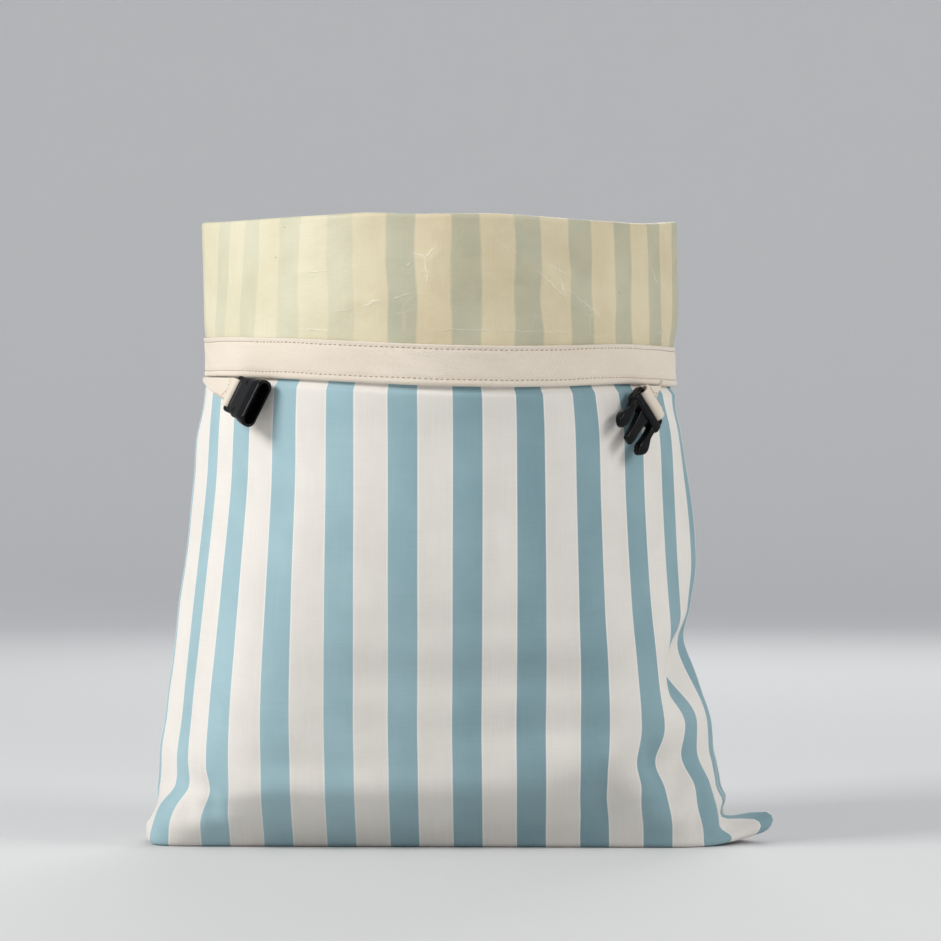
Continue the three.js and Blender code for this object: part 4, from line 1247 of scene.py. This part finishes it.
def studio():
    """The pale floor, the room's own light and three soft lights."""
    floor = cove()
    material, n, shader = new_material("pale_floor")
    place = n.object_place()
    away = n.add("ShaderNodeVectorMath", {0: place}, operation="LENGTH").outputs["Value"]
    # Painted light: the floor's colour grows lighter away from the bag, making up for the lamps' light
    # falling off towards the far floor and wall.
    shade = n.colour(n.ramp(away, 0.5, 3.0), (0.64, 0.64, 0.64, 1), (0.84, 0.84, 0.84, 1))
    n.feed(shader, {"Base Color": shade, "Roughness": 0.85})
    floor.data.materials.append(material)
    world = bpy.data.worlds.new("studio")
    bpy.context.scene.world = world
    world.use_nodes = True
    background = world.node_tree.nodes["Background"]
    background.inputs["Color"].default_value = (0.90, 0.94, 1.0, 1)
    background.inputs["Strength"].default_value = 0.4
    area_light("key", (-1.8, -1.0, 1.4), (0, 0, 0.2), 0.8, 40.5, (1.0, 0.985, 0.96))
    area_light("fill", (1.9, -0.9, 1.3), (0, 0, 0.2), 1.0, 21.5, (1.0, 0.985, 0.96))
    area_light("back", (0.3, 1.9, 1.6), (0, 0, 0.3), 1.2, 16)
    bpy.context.scene.view_settings.view_transform = "Standard"


place_camera()
studio()

LINEN, LINING = linen_material(), lining_material()
TAPE_CLOTH, PLASTIC = tape_material(), plastic_material()
THREAD_YARN = thread_material()
SHEET_WALL = 0.5  # thickness of the linen and of the lining as drawn
# Rows of points low on the wall, above that, and on the cuff: most where the cloth shows.
LINEN_ROWS, LINING_ROWS = (62, 26, 9), (26, 12, 64)


def keep(piece, slot, *nodes):
    """Ties a piece to the body and hides the CAD nodes that it stands for. Its slot is not used."""
    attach(piece, "root")
    if nodes:
        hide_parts(*nodes)


def thicken(piece, thickness, offset=-1):
    """Gives a sheet its thickness: inwards from its face, or half to each side where the offset is 0."""
    wall = piece.modifiers.new("thickness", "SOLIDIFY")
    wall.thickness = thickness * MM
    wall.offset = offset


linen = bag_sheet("linen_outer", 0.0, False, LINEN, LINEN_ROWS)
thicken(linen, SHEET_WALL)
keep(linen, "linen", "outer_cloth")

lining = bag_sheet("waxed_lining", SHEETS, True, LINING, LINING_ROWS)
thicken(lining, SHEET_WALL)
keep(lining, "lining", "lining")

band = band_sheet()
thicken(band, TAPE, 0)
keep(band, "tape", "mouth_band")

band_seams = band_stitches()
keep(band_seams, "tape")

socket = buckle_socket()
keep(socket, "plastic", "buckle_socket")

plug = buckle_plug()
keep(plug, "plastic", "buckle_plug")

left_tab = tab_sheet("socket_tab", SOCKET_HANG, half_wide=8.0, length=66.0)
thicken(left_tab, TAPE, 0)
keep(left_tab, "tape", "left_tab")

right_tab = tab_sheet("plug_tab", PLUG_HANG, half_wide=9.8, length=31.0)
thicken(right_tab, TAPE, 0)
keep(right_tab, "tape", "right_tab")

plug_seams = tab_seams(
    "plug_tab_stitching",
    PLUG_HANG,
    (
        (8.0, -9.0, 8.0, 8.6),
        (9.8, -9.0, 9.8, 8.6),
        (9.8, -8.6, 20.0, -8.6),
        (9.8, -8.6, 19.0, 2.0),
        (18.5, -8.6, 9.8, 3.0),
    ),
)
keep(plug_seams, "tape")

socket_seams = tab_seams(
    "socket_tab_stitching",
    SOCKET_HANG,
    (
        (9.0, -7.2, 9.0, 6.0),
        (9.0, -7.2, 34.0, -7.2),
        (24.0, -6.6, 10.0, 4.0),
    ),
)
keep(socket_seams, "tape")
